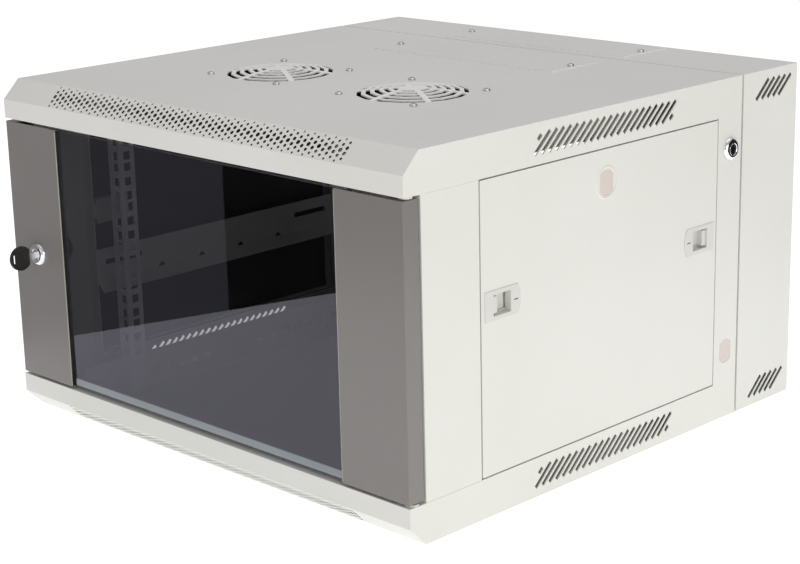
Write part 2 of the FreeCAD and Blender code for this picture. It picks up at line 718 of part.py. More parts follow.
def fan_frame(x, y):
    """Square axial fan housing with a round duct, motor mount and four struts."""
    top = HEIGHT - SHEET
    bottom = top - FAN_DEPTH
    half = FAN_SIZE / 2
    up = vec(0, 0, 1)
    outline = []
    for sx, sy in ((-1, -1), (1, -1), (1, 1), (-1, 1)):
        a, b = (sx * half, sy * (half - FAN_CORNER)), (sx * (half - FAN_CORNER), sy * half)
        outline += [a, b] if sx * sy > 0 else [b, a]
    body = prism_z([(x + u, y + v) for u, v in outline], bottom, top)
    body = body.cut(bar(FAN_DUCT_R, FAN_DEPTH + 2, vec(x, y, bottom - 1), up, ROUND_SIDES))
    pieces = [body, bar(FAN_HUB_R, FAN_MOUNT, vec(x, y, bottom), up, ROUND_SIDES)]
    for k in range(4):
        strut = box(x, x + FAN_DUCT_R + 1, y - FAN_STRUT / 2, y + FAN_STRUT / 2, bottom, bottom + FAN_MOUNT)
        strut.rotate(vec(x, y, 0), up, 90 * k + FAN_STRUT_TURN)
        pieces.append(strut)
    holes = [(x + dx, y + dy) for dx, dy in fan_corners()]
    tools = screw_holes(holes, bottom - 1, top + 1)
    tools.append(cylinder(FAN_SHAFT_R + RUNNING_CLEARANCE, FAN_MOUNT, vec(x, y, bottom + FAN_SHAFT_FLOOR), up))
    return cut(fuse(pieces), tools)


def fan_rotor(x, y):
    """Hub with pitched blades, on a shaft that turns in the motor mount."""
    top = HEIGHT - SHEET - FAN_TOP_GAP
    bottom = HEIGHT - SHEET - FAN_DEPTH + FAN_MOUNT + FAN_RUNNING_GAP
    middle = (top + bottom) / 2
    half_chord = (top - bottom) / 2 - 1
    blade = box(x + FAN_HUB_R - 3, x + FAN_DUCT_R - FAN_TIP_GAP, y - 0.8, y + 0.8,
                middle - 1.35 * half_chord, middle + 1.35 * half_chord)
    blade.rotate(vec(x, y, middle), vec(1, 0, 0), FAN_BLADE_PITCH)
    blades = []
    for k in range(FAN_BLADES):
        turned = blade.copy()
        turned.rotate(vec(x, y, 0), vec(0, 0, 1), 360.0 * k / FAN_BLADES)
        blades.append(turned)
    hub = bar(FAN_HUB_R - 1, top - bottom, vec(x, y, bottom), vec(0, 0, 1), ROUND_SIDES)
    shaft_low = HEIGHT - SHEET - FAN_DEPTH + FAN_SHAFT_FLOOR + FAN_RUNNING_GAP
    shaft = cylinder(FAN_SHAFT_R, bottom - shaft_low, vec(x, y, shaft_low), vec(0, 0, 1))
    return fuse([hub, shaft] + blades)


def fans():
    for side, name in ((-1, "left"), (1, "right")):
        x, y = side * FAN_SIDE, front(FAN_BACK)
        keep("fan_frame_" + name, fan_frame(x, y))
        keep("fan_rotor_" + name, fan_rotor(x, y))


# ---------------------------------------------------------------- door
def stile(side):
    """Door stile: folded channel with closed ends, seen from above as (x, y) points."""
    outer, inner = DOOR_HALF, STILE_INNER
    y0 = front(0)
    t = DOOR_SHEET
    profile = folded(
        [
            (inner, y0 + t + STILE_RETURN),
            (inner, y0),
            (outer, y0),
            (outer, y0 + STILE_DEPTH),
            (outer - STILE_LIP, y0 + STILE_DEPTH),
        ],
        t,
    )
    channel = prism_z(profile, DOOR_LOW, DOOR_HIGH)
    ends = []
    for z in (DOOR_LOW, DOOR_HIGH - t):
        ends.append(box(outer - STILE_LIP, outer - t, y0 + t, y0 + STILE_DEPTH - t, z, z + t))
    shape = fuse([channel] + ends)
    return shape if side > 0 else mirror_x(shape)


def door():
    axis_x, axis_y = DOOR_HALF - HINGE_INSET, front(HINGE_BACK)
    pin_hole = cylinder(HINGE_PIN_R + RUNNING_CLEARANCE, HEIGHT, vec(axis_x, axis_y, 0), vec(0, 0, 1))
    keep("door_stile_right", stile(1).cut(pin_hole))
    lock_hole = bar(LOCK_R, 3, vec(DOOR_LOCK_X, front(0) - 1, MIDDLE), vec(0, 1, 0), ROUND_SIDES)
    keep("door_stile_left", stile(-1).cut(lock_hole))
    glass_y = front(GLASS_FRONT)
    reach = STILE_INNER + GLASS_LAP
    keep("door_glass", box(-reach, reach, glass_y, glass_y + GLASS_THICKNESS, DOOR_LOW + 1, DOOR_HIGH - 1))
    tape = box(STILE_INNER + DOOR_SHEET, STILE_INNER + DOOR_SHEET + TAPE_WIDTH, front(DOOR_SHEET), glass_y,
               DOOR_LOW + 2, DOOR_HIGH - 2)
    keep("glass_tapes", [tape, mirror_x(tape)])
    up = vec(0, 0, 1)
    bush = fuse([
        bar(BUSH_R, BUSH_LENGTH - BUSH_FLANGE, vec(axis_x, axis_y, OPENING_LOW + BUSH_FLANGE - BUSH_LENGTH), up,
            ROUND_SIDES // 2),
        bar(BUSH_FLANGE_R, BUSH_FLANGE, vec(axis_x, axis_y, OPENING_LOW), up, ROUND_SIDES // 2),
    ])
    bush = bush.cut(pin_hole)
    keep("door_hinge_bushes", [bush, mirror_z(bush)])
    low_pin = cylinder(HINGE_PIN_R, PIN_LENGTH, vec(axis_x, axis_y, OPENING_LOW - PIN_REACH), up)
    keep("door_hinge_pin_lower", low_pin)
    top = OPENING_HIGH + PIN_REACH
    handle_z = DOOR_HIGH - DOOR_SHEET - PIN_TRAVEL - PIN_TAIL
    half = PIN_HANDLE / 2
    handle = box(axis_x - PIN_HANDLE_REACH, axis_x, axis_y - half, axis_y + half, handle_z, handle_z + PIN_HANDLE)
    keep("door_hinge_pin_upper", fuse([
        cylinder(HINGE_PIN_R, top - handle_z, vec(axis_x, axis_y, handle_z), vec(0, 0, 1)),
        handle,
    ]))


# ---------------------------------------------------------------- locks and key
def lock_parts():
    """One cam lock along +Z with its face at Z = 0 and its tail below: housing, nut and plug."""
    up = vec(0, 0, 1)
    dome = bar(LOCK_DOME_R, LOCK_DOME, vec(0, 0, 0), up, ROUND_SIDES)
    rounded = [edge for edge in dome.Edges if edge.BoundBox.ZMin > LOCK_DOME - 0.1]
    dome = dome.makeChamfer(LOCK_DOME - LOCK_RIM, rounded)
    barrel = bar(LOCK_R, LOCK_BARREL - 1, vec(0, 0, 1 - LOCK_BARREL), up, ROUND_SIDES)
    bore = cylinder(LOCK_PLUG_R + RUNNING_CLEARANCE, 2 * LOCK_BARREL, vec(0, 0, -LOCK_BARREL), up)
    housing = fuse([dome, barrel]).cut(bore)
    nut = prism_z(hexagon(LOCK_NUT_R), -SHEET - LOCK_NUT, -SHEET)
    nut = nut.cut(bar(LOCK_R, LOCK_NUT + 2, vec(0, 0, -SHEET - LOCK_NUT - 1), up, ROUND_SIDES))
    plug = cylinder(LOCK_PLUG_R, LOCK_BARREL + LOCK_DOME - 0.6, vec(0, 0, -LOCK_BARREL), up)
    half_width = KEY_BLADE_THICKNESS / 2 + KEY_CLEARANCE
    half_height = KEY_BLADE_HEIGHT / 2 + KEY_CLEARANCE
    key_slot = box(-half_width, half_width, -half_height, half_height,
                   LOCK_DOME - KEY_BLADE_LENGTH + KEY_COLLAR - KEY_CLEARANCE, LOCK_DOME + 1)
    return housing, nut, plug.cut(key_slot)


def door_lock():
    """Axis along -Y: lock face outwards, the cam hanging down behind the stile when unlocked."""
    # local +Z to -Y, local +Y to +Z, local +X stays +X
    place = FreeCAD.Placement(vec(DOOR_LOCK_X, front(0), MIDDLE), FreeCAD.Rotation(vec(1, 0, 0), 90))
    housing, nut, plug = lock_parts()
    moved = []
    for shape in (housing, nut, plug):
        shape = shape.copy()
        shape.Placement = place
        moved.append(shape)
    keep("door_lock_housing", moved[0])
    keep("door_lock_nut", moved[1])
    y0 = front(0) + LOCK_BARREL
    tail_y = front(DOOR_RECESS) + SHEET + CAM_CLEARANCE
    half = CAM_SQUARE / 2
    tail = box(DOOR_LOCK_X - half, DOOR_LOCK_X + half, y0, tail_y + CAM_SHEET + CAM_SCREW, MIDDLE - half,
               MIDDLE + half)
    keep("door_lock_plug", fuse([moved[2], tail]))
    cam = fuse([
        prism_y(circle(CAM_WIDTH / 2 + 1, DOOR_LOCK_X, MIDDLE), tail_y, tail_y + CAM_SHEET),
        box(DOOR_LOCK_X - CAM_WIDTH / 2, DOOR_LOCK_X + CAM_WIDTH / 2, tail_y, tail_y + CAM_SHEET,
            MIDDLE - DOOR_CAM_LENGTH, MIDDLE),
    ])
    keep("door_lock_cam", cam.cut(tail))


def section_lock():
    """Axis along +X: the hooked cam hangs down when unlocked and catches the wall section when turned."""
    y, z = front(SECTION_LOCK_BACK), SECTION_LOCK_Z
    place = FreeCAD.Placement(vec(HALF, y, z), FreeCAD.Rotation(vec(0, 1, 0), 90))
    housing, nut, plug = lock_parts()
    moved = []
    for shape in (housing, nut, plug):
        shape = shape.copy()
        shape.rotate(vec(0, 0, 0), vec(0, 0, 1), 90)
        shape.Placement = place.multiply(shape.Placement)
        moved.append(shape)
    keep("section_lock_housing", moved[0])
    keep("section_lock_nut", moved[1])
    x1 = HALF - LOCK_BARREL
    x0 = x1 - CAM_SHEET
    half = CAM_SQUARE / 2
    tail = box(x0 - CAM_SCREW, x1, y - half, y + half, z - half, z + half)
    keep("section_lock_plug", fuse([moved[2], tail]))
    arm = box(x0, x1, y - CAM_WIDTH / 2, y + CAM_WIDTH / 2, z - HOOK_INNER - 1, z)
    hub = prism_x(circle(CAM_WIDTH / 2 + 1, y, z), x0, x1)
    angles = [math.radians(-90 - HOOK_HEEL + (HOOK_ANGLE + HOOK_HEEL) * k / ARC_STEPS) for k in range(ARC_STEPS + 1)]
    hook = prism_x(
        [(y + HOOK_OUTER * math.cos(a), z + HOOK_OUTER * math.sin(a)) for a in angles]
        + [(y + HOOK_INNER * math.cos(a), z + HOOK_INNER * math.sin(a)) for a in reversed(angles)],
        x0,
        x1,
    )
    keep("section_lock_cam", fuse([arm, hub, hook]).cut(tail))
    keep("upright_hole_plug", hole_plug(y, SPARE_HOLE_Z, SHEET))


def hole_plug(y, z, sheet):
    """Snap-in blanking plug, slightly below the face of a sheet, with a collar behind it."""
    face_x = HALF - PLUG_RECESS
    inner_x = face_x - PLUG_THICKNESS
    face = double_d(PLUG_HEIGHT, PLUG_WIDTH, inner_x, face_x, y, z)
    collar = double_d(PLUG_HEIGHT + PLUG_COLLAR, PLUG_WIDTH + PLUG_COLLAR, inner_x, HALF - sheet, y, z)
    return fuse([face, collar])


def key():
    """Flat key: blade in the plug, moulded bow standing upright outside it."""
    x, z = DOOR_LOCK_X, MIDDLE
    y_face = front(0) - LOCK_DOME
    half = KEY_BLADE_THICKNESS / 2
    blade = box(x - half, x + half, y_face - KEY_COLLAR, y_face + KEY_BLADE_LENGTH - KEY_COLLAR,
                z - KEY_BLADE_HEIGHT / 2, z + KEY_BLADE_HEIGHT / 2)
    keep("key_blade", blade)
    far, near = y_face - KEY_COLLAR - KEY_BOW_LENGTH, y_face - KEY_COLLAR
    radius = KEY_BOW_HEIGHT / 2
    x0, x1 = x - KEY_BOW_THICKNESS / 2, x + KEY_BOW_THICKNESS / 2
    bow = prism_x(circle(radius, far + radius, z, ROUND_SIDES), x0, x1)
    bow = bow.common(box(x0, x1, far - 1, near, z - radius, z + radius))
    ring_hole = prism_x(circle(KEY_HOLE_R, far + KEY_HOLE_INSET, z, ROUND_SIDES // 2), x0 - 1, x1 + 1)
    keep("key_bow", bow.cut(ring_hole))


# ---------------------------------------------------------------- side panels with slide latches
def latch_at(outer_y, inwards, z, x):
    """Latch housing and slider.  outer_y is the housing's outer end, inwards +1 or -1 along Y."""

    def span(a, b):
        return sorted((outer_y + inwards * a, outer_y + inwards * b))

    half = LATCH_HEIGHT / 2
    y0, y1 = span(0, LATCH_LENGTH)
    back_x = x - LATCH_DEPTH
    body = box(back_x, x, y0 + LATCH_FIT, y1 - LATCH_FIT, z - half + LATCH_FIT, z + half - LATCH_FIT)
    outline = [(outer_y, z + half), (outer_y, z - half)]
    for k in range(LATCH_CHORDS + 1):
        share = 2 * k / LATCH_CHORDS - 1
        reach = LATCH_LENGTH + LATCH_BULGE * (1 - share * share)
        outline.append((outer_y + inwards * reach, z + half * share))
    rim = prism_x(outline, x, x + LATCH_RIM)
    pocket_y = span(POCKET_START, POCKET_START + POCKET_LENGTH)
    pocket = box(x - POCKET_DEPTH, x + LATCH_RIM + 1, pocket_y[0], pocket_y[1],
                 z - POCKET_HEIGHT / 2, z + POCKET_HEIGHT / 2)
    slide_x = x - POCKET_DEPTH - SLIDER_SHEET
    slide_half = SLIDER_HEIGHT / 2
    gap = SLIDER_CLEARANCE
    channel_y = span(-1, POCKET_START + POCKET_LENGTH + SLIDER_TRAVEL)
    channel = box(slide_x - gap, x - POCKET_DEPTH, channel_y[0], channel_y[1],
                  z - slide_half - gap, z + slide_half + gap)
    housing = cut(fuse([body, rim]), [pocket, channel])
    tongue_y = span(-LATCH_EDGE - PANEL_GAP + SLIDER_CLEARANCE, POCKET_START + POCKET_LENGTH - 1)
    plate = box(slide_x, slide_x + SLIDER_SHEET - gap, tongue_y[0], tongue_y[1], z - slide_half, z + slide_half)
    grip_y = span(POCKET_START + gap, POCKET_START + gap + GRIP_LENGTH)
    grip = box(slide_x, x - GRIP_RECESS, grip_y[0], grip_y[1], z - slide_half, z + slide_half)
    return housing, fuse([plate, grip])


def side_panels():
    y0, y1 = front(PANEL_FRONT), front(PANEL_BACK)
    outer = box(HALF - PANEL_SHEET - PANEL_RETURN, HALF, y0, y1, PANEL_LOW, PANEL_HIGH)
    inner = box(HALF - PANEL_SHEET - PANEL_RETURN - 1, HALF - PANEL_SHEET, y0 + PANEL_SHEET, y1 - PANEL_SHEET,
                PANEL_LOW + PANEL_SHEET, PANEL_HIGH - PANEL_SHEET)
    panel = outer.cut(inner)
    middle_y = (y0 + y1) / 2
    z = MIDDLE + LATCH_RISE
    front_housing, front_slider = latch_at(y0 + LATCH_EDGE, 1, z, HALF)
    rear_housing, rear_slider = latch_at(y1 - LATCH_EDGE, -1, z, HALF)
    half = LATCH_HEIGHT / 2 - LATCH_FIT
    near, far = LATCH_EDGE + LATCH_FIT, LATCH_EDGE + LATCH_LENGTH - LATCH_FIT
    slide = SLIDER_HEIGHT / 2 + SLIDER_CLEARANCE
    slide_x = HALF - POCKET_DEPTH - SLIDER_SHEET - SLIDER_CLEARANCE
    windows = [
        box(HALF - PANEL_SHEET - 1, HALF + 1, y0 + near, y0 + far, z - half, z + half),
        box(HALF - PANEL_SHEET - 1, HALF + 1, y1 - far, y1 - near, z - half, z + half),
        box(slide_x, HALF - POCKET_DEPTH, y0 - 1, y0 + PANEL_SHEET + 1, z - slide, z + slide),
        box(slide_x, HALF - POCKET_DEPTH, y1 - PANEL_SHEET - 1, y1 + 1, z - slide, z + slide),
        double_d(PLUG_HEIGHT, PLUG_WIDTH, HALF - 2 * PANEL_SHEET, HALF + 1, middle_y, SECTION_LOCK_Z),
    ]
    panel = cut(panel, windows)
    pieces = {
        "side_panel": [panel],
        "latch_housings": [front_housing, rear_housing],
        "latch_slider_front": [front_slider],
        "latch_slider_rear": [rear_slider],
        "panel_hole_plug": [hole_plug(middle_y, SECTION_LOCK_Z, PANEL_SHEET)],
    }
    for name, shapes in pieces.items():
        keep(name + "_right", shapes)
        keep(name + "_left", [mirror_x(s) for s in shapes])


# ---------------------------------------------------------------- wall section
def wall_section():
    y0 = front(WALL_FRONT)
    inner_x = HALF - REAR_FLANGE
    side = fuse([
        box(HALF - SHEET, HALF, y0, 0, 0, HEIGHT),
        box(inner_x, HALF - SHEET, y0, y0 + SHEET, SHEET, HEIGHT - SHEET),
    ])
    vents = []
    for z in (HEIGHT - BAND / 2, BAND / 2):
        vents += vent_slots(WALL_FRONT + WALL_VENT_FIRST, WALL_VENT_COUNT, VENT_PITCH, z, HALF - 2 * SHEET,
                            HALF + 1, False)
    side = cut(side, vents)
    keep("wall_side_left", mirror_x(side))
    reach = HOOK_OUTER + HOOK_CLEARANCE
    catch = CAM_WIDTH / 2 + HOOK_CLEARANCE
    keep("wall_side_right", side.cut(hook_slot(y0 - 1, y0 + 2 * SHEET, -reach, catch)))
    roof = prism_x(
        folded([(0, HEIGHT), (y0, HEIGHT), (y0, HEIGHT - FLANGE)], SHEET),
        -(HALF - SHEET),
        HALF - SHEET,
    )
    corners = [
        box(s * HALF if s < 0 else inner_x, -inner_x if s < 0 else HALF, y0 - 1, y0 + SHEET,
            HEIGHT - FLANGE - 1, HEIGHT - SHEET)
        for s in (-1, 1)
    ]
    roof = cut(roof, corners)
    opening = [cover_opening(WALL_COVER_BACK, HEIGHT - SHEET - 1, HEIGHT + 1)]
    opening += screw_holes(cover_screws(WALL_COVER_BACK), HEIGHT - SHEET - 1, HEIGHT + 1)
    roof = cut(roof, opening)
    keep("wall_roof", roof)
    keep("wall_floor", mirror_z(roof))
    plate = box(-(HALF - SHEET), HALF - SHEET, -SHEET, 0, SHEET, HEIGHT - SHEET)
    holes = [
        box(-WALL_ENTRY_WIDTH / 2, WALL_ENTRY_WIDTH / 2, -SHEET - 1, 1,
            MIDDLE - WALL_ENTRY_HEIGHT / 2, MIDDLE + WALL_ENTRY_HEIGHT / 2)
    ]
    for sx in (-1, 1):
        for sz in (-1, 1):
            place = vec(sx * (HALF - WALL_HOLE_INSET_X), -SHEET - 1, MIDDLE + sz * (MIDDLE - WALL_HOLE_INSET_Z))
            holes.append(cylinder(WALL_HOLE_R, SHEET + 2, place, vec(0, 1, 0)))
    keep("wall_back_plate", cut(plate, holes))
    buffers = []
    for sx in (-1, 1):
        for z in (BUFFER_INSET_Z, HEIGHT - BUFFER_INSET_Z):
            place = vec(sx * (HALF - BUFFER_INSET_X), y0 - SECTION_GAP + BUFFER_GAP, z)
            buffers.append(bar(BUFFER_R, SECTION_GAP - BUFFER_GAP, place, vec(0, 1, 0), SMALL_SIDES))
    keep("section_buffers", buffers)


def section_hinges():
    """Lift-off hinges on the left: the upper knuckle turns on the pin that stands in the lower one."""
    x, y = -(HALF + SECTION_HINGE_OFFSET), front(MAIN_DEPTH + SECTION_GAP / 2)
    up = vec(0, 0, 1)

    def half_hinge(z0, z1, direction):
        """Knuckle with a leaf that reaches forwards (-1) or backwards (+1) along the left side."""
        near, far = y + direction * LEAF_START, y + direction * (LEAF_START + LEAF_WIDTH)
        knuckle = bar(KNUCKLE_R, z1 - z0, vec(x, y, z0), up, INNER_SIDES)
        leaf = box(-HALF - LEAF_SHEET, -HALF, min(near, far), max(near, far), z0, z1)
        neck = box(-HALF - LEAF_SHEET, -HALF - LEAF_NECK_GAP, min(y, near), max(y, near), z0, z1)
        return fuse([knuckle, leaf, neck])

    main_leaves, wall_leaves = [], []
    for centre in (SECTION_HINGE_Z, HEIGHT - SECTION_HINGE_Z):
        low, high = centre - KNUCKLE_LENGTH, centre + KNUCKLE_LENGTH
        bore = cylinder(SECTION_HINGE_PIN_R + RUNNING_CLEARANCE, high - low, vec(x, y, low), up)
        main_leaves.append(half_hinge(centre + KNUCKLE_GAP, high, -1).cut(bore))
        pin = cylinder(SECTION_HINGE_PIN_R, KNUCKLE_LENGTH - SECTION_HINGE_PIN_R, vec(x, y, centre), up)
        wall_leaves.append(fuse([half_hinge(low, centre, 1), pin]))
    keep("section_hinge_leaves_main", main_leaves)
    keep("section_hinge_leaves_wall", wall_leaves)


# ---------------------------------------------------------------- build and write
def build():
    main_sheets()
    front_uprights()
    rear_uprights()
    side_braces()
    depth_rails()
    rack_rails()
    rail_bolts()
    covers_and_screws()
    fans()
    door()
    door_lock()
    section_lock()
    key()
    side_panels()
    wall_section()
    section_hinges()


def write():
    os.makedirs("parts", exist_ok=True)
    for name, shapes in SOLIDS.items():
        whole = shapes[0] if len(shapes) == 1 else Part.makeCompound(shapes)
        whole.exportStep("parts/" + name + ".step")


build()
write()
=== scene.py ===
"""Looks of a swing-out wall network cabinet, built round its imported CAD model.

Metres, +Z up, the cabinet's wall plane at Y = 0 and its front towards -Y.
"""
import json
import math

import bmesh
import bpy
from mathutils import Matrix, Vector


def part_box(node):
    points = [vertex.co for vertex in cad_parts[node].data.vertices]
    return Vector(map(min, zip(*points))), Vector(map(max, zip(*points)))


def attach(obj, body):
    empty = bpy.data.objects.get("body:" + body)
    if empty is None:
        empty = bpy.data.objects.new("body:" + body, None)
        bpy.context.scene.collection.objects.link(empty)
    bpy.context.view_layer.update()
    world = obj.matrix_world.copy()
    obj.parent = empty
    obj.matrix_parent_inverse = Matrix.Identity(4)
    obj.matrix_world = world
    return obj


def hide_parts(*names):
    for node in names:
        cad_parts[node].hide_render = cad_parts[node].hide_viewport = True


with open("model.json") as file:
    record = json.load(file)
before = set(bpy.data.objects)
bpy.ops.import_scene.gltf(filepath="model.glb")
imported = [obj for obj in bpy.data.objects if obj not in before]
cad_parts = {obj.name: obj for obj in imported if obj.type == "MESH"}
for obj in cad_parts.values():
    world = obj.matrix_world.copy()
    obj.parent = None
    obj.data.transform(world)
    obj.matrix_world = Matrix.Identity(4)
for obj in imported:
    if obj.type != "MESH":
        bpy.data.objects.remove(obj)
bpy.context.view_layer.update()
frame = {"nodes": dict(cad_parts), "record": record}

MM = 0.001
MERGE = 1e-5                    # corners nearer to each other than this are one
FLAT_ANGLE = math.radians(1.0)  # faces that turn less than this from each other are one
SHARP_ANGLE = math.radians(30.0)
EDGE_ON = 0.5                   # a normal with a smaller share along a direction is a cut edge's
OVERSHOOT = 1.0 * MM            # of a cutter past the face that it opens

# Rounds of the CAD nodes' edges
BEND_RADIUS = 0.54 * MM         # of folded sheet
SMALL_RADIUS = 0.21 * MM        # of everything else
ROUND_SEGMENTS = 2
FOLDED_SLOTS = ("cabinet_steel", "door_steel")

# Perforated bevels of roof and floor
BEVEL = 20.0 * MM               # run and rise
COVER_THICKNESS = 1.5 * MM      # of the cable covers that lie on the roof
HOLE_COLUMNS = 32
HOLE_PITCH = 13.93 * MM
HOLE_ROWS = 9
HOLE_ROW_PITCH = 2.95 * MM
HOLE_LARGEST = 2.15 * MM        # radius in the middle row
HOLE_SMALLEST = 1.0 * MM        # radius in the outer rows
HOLE_GRADING = 0.8              # power of a row's distance from the middle row in its radius
HOLE_WIDENING = 0.6 * MM        # of the radius, towards the inside of the sheet
HOLE_REACH = 4.0 * MM           # of the cutter to either side of the bevel's face
HOLE_SIDES = 12
HOLE_MARGIN = 2.0 * MM          # of the bevel that has no hole walls, along each edge
HOLE_WALL_AREA = 6e-6           # square metres: every face of a hole's wall is smaller
ROOF_LEVEL = 0.9995             # a normal with a smaller share along Z is the fan guards'

# Pan head screws
SCREW_HEAD_RADIUS = 3.9 * MM
SCREW_HEAD_HEIGHT = 2.2 * MM
SCREW_RIM = 0.35                # share of the height that stands upright
SCREW_CROWN = 0.55              # share of the radius round which the side curves in
SCREW_CURVE_STEPS = 6
SCREW_SIDES = 32
SCREW_CROSS = 1.1 * MM          # width of the recess
SCREW_CROSS_REACH = 0.55        # share of the radius
SCREW_CROSS_FLOOR = 0.45        # share of the height
SCREW_CROSS_TOP = 1.5           # share of the height where its cutter ends
SCREW_FIRST_TURN = 0.3          # radians
SCREW_NEXT_TURN = 0.7           # radians from each screw to the next

# Locks
LOCK_DOME = 5.0 * MM            # height of the housing's head
LOCK_NECK = 0.72                # share of the head's radius
LOCK_CURVE = ((1.0, 1.0), (1.0, 0.80), (0.96, 0.52), (0.87, 0.24), (0.76, 0.07),
              (0.66, 0.0))      # shares of the head's radius, and of its height below the top
LOCK_MOUTH = ((0.5 * MM, 0.1 * MM), (0.0, 0.6 * MM))  # outside the bore, and below the top
LOCK_SIDES = 64
BORE_GAP = 0.08 * MM
BARREL_CHAMFER = 0.5 * MM
BARREL_SIDES = 48
KEYWAY_WIDTH = 2.2 * MM
KEYWAY_HEIGHT = 7.4 * MM
KEYWAY_DEPTH = 13.5 * MM

# Key
BOW_SIDES = 64
BOW_FLAT = 0.12                 # share of half the width that the round is larger and shifted by
BOW_RIM = 1.3 * MM
BOW_RECESS = 0.5 * MM
BOW_SLOT_WIDTH = 2.4 * MM
BOW_SLOT_HEIGHT = 9.5 * MM
BOW_SLOT_INSET = 5.0 * MM       # from the bow's outer end to the slot's middle
BOW_ROUND = 0.3 * MM
RIBS = 4
RIB_START = 0.5 * MM            # from the bow's middle, towards the lock
RIB_PITCH = 2.6 * MM
RIB_WIDTH = 0.9 * MM
RIB_LENGTH = 14.0 * MM
RIB_SUNK = 0.1 * MM             # below the bow's rim

# Side panels
RIM_INNER = 14.6 * MM           # radius of the embossed rim
RIM_WIDTH = 1.1 * MM
RIM_RISE = 0.7 * MM
RIM_CURVE = ((0.0, 0.4), (0.35, 1.0), (1.0, 1.0), (1.8, 0.35))  # shares of width and rise
RIM_FOOT = 2.2                  # share of the width where the outer flank ends
RIM_SUNK = 0.3 * MM
RIM_SIDES = 64
DASH_LENGTH = 5.5 * MM
DASH_HEIGHT = 1.1 * MM
DASH_INSET = 7.0 * MM           # from the latch's inner end
DASH_PROUD = 0.04 * MM
DASH_SUNK = 0.2 * MM

# Door
EDGE_TAPE = 0.55 * MM           # thickness
EDGE_TAPE_DEPTH = 0.8 * MM      # from the stile's face
# Width of the black strips between the stiles and the glass: painted shade of the gap there
SHADE_STRIP_WIDTH = 1.5 * MM
TRIM_GAP = 0.1 * MM
TRIM_SHORT = 0.5 * MM           # of the glass's height, at each end
SEAL_LOW = 1.5 * MM             # above the glass's lower edge
SEAL_HIGH = 9.5 * MM
SEAL_PROUD = 1.0 * MM
SEAL_TURN = 0.35                # share of the height where it stands out furthest
SEAL_TOP = 0.7                  # share of its thickness that it has at the top
SEAL_FOOT = 0.3                 # and at the bottom
SEAL_CHAMFER = 0.5 * MM
SEAL_CLEARANCE = 0.05 * MM
SEAL_LEFT_GAP = 4.0 * MM        # between the left black shade strip and the seal

# Finishes: noise scales per metre, and strength and depth of the relief
RAMP_SPAN = (0.35, 0.65)        # the share of the noise's range that a colour ramp spreads
GLOSS_SPAN = (0.3, 0.7)
COAT_PATCHES = 4.0
COAT_SHEEN = 60.0
COAT_PEEL = 900.0
COAT_PEEL_DETAIL = 3.0
COAT_RELIEF = (0.10, 0.12 * MM)
COAT_GLOSS = 0.04               # by which the roughness varies to either side
PLATE_STREAKS = 120.0
PLATE_STRETCH = (1.0, 1.0, 0.15)
PLATE_GRAIN = 400.0
PLATE_RELIEF = (0.04, 0.05 * MM)
MOULD_CLOUDS = 18.0
MOULD_SHEEN = 250.0
MOULD_GRAIN = 1500.0
MOULD_RELIEF = (0.08, 0.06 * MM)
MOULD_GLOSS = 0.05
GLASS_CLOUDS = 2.0
GLASS_SHINE = (0.84, 0.84, 1.0, 1.0)
MATT_CLOUDS = 1.5
MATT_ROUGHNESS = 0.9
# Painted shade: side panel faces below this value get the near-black inside tone
INSIDE_SHADE_SIDE = -0.15             # metres: X times the normal's X, below which a face is inside

# Studio
FLOOR_REACH = 12.0
FLOOR_TONES = ((0.86, 0.86, 0.86), (0.90, 0.90, 0.90))
FLOOR_GLOW = 0.58
BACKDROP_RADIUS = 11.0
BACKDROP_LOW = -0.5
BACKDROP_HIGH = 9.0
BACKDROP_SIDES = 64
BACKDROP_TONES = ((0.55, 0.55, 0.55), (0.57, 0.57, 0.57))
BACKDROP_GLOW = 0.72
CARD_START = Vector((-0.482, -0.786))
CARD_TOWARDS = Vector((-0.372, -1.135))
CARD_BEFORE = 0.20              # grey card before the start, along the line of both cards
CARD_GREY = 0.212               # grey card after the start
CARD_BLACK = 0.9
CARD_HEIGHT = 0.5
CARD_TONES = ((0.001, 0.001, 0.001), (0.002, 0.002, 0.002))
CARD_GLOW = 0.22                # of the grey card
SIDE_CARD = ((0.45, 0.75), (1.35, -0.15))  # its two ends on the floor
SIDE_CARD_HEIGHT = 0.9
LIGHTS = (                      # name, place, target, size, watts, tint
    ("key_softbox", (3.2, -1.4, 1.1), (0.0, -0.3, 0.15), (2.0, 1.6), 24.0, (1.0, 1.0, 0.90)),
    ("front_softbox", (0.4, -3.4, 1.5), (0.0, -0.3, 0.2), (2.4, 1.6), 4.0, (1.0, 1.0, 1.0)),
    ("top_softbox", (0.0, 0.2, 3.2), (0.0, -0.3, 0.3), (2.5, 2.5), 20.0, (1.0, 0.94, 1.0)),
)
SKY_TINT = (0.99, 0.96, 1.0, 1.0)
SKY_STRENGTH = 0.5

# Camera, at the height and distance that the picture's perspective gives
CAMERA_PLACE = Vector((1.449, -1.751, 0.710))
CAMERA_AZIMUTH = math.radians(45.10)
CAMERA_ELEVATION = math.radians(15.67)
CAMERA_ROLL = math.radians(-1.33)
CAMERA_LENS = 87.19
SENSOR_WIDTH = 36.0


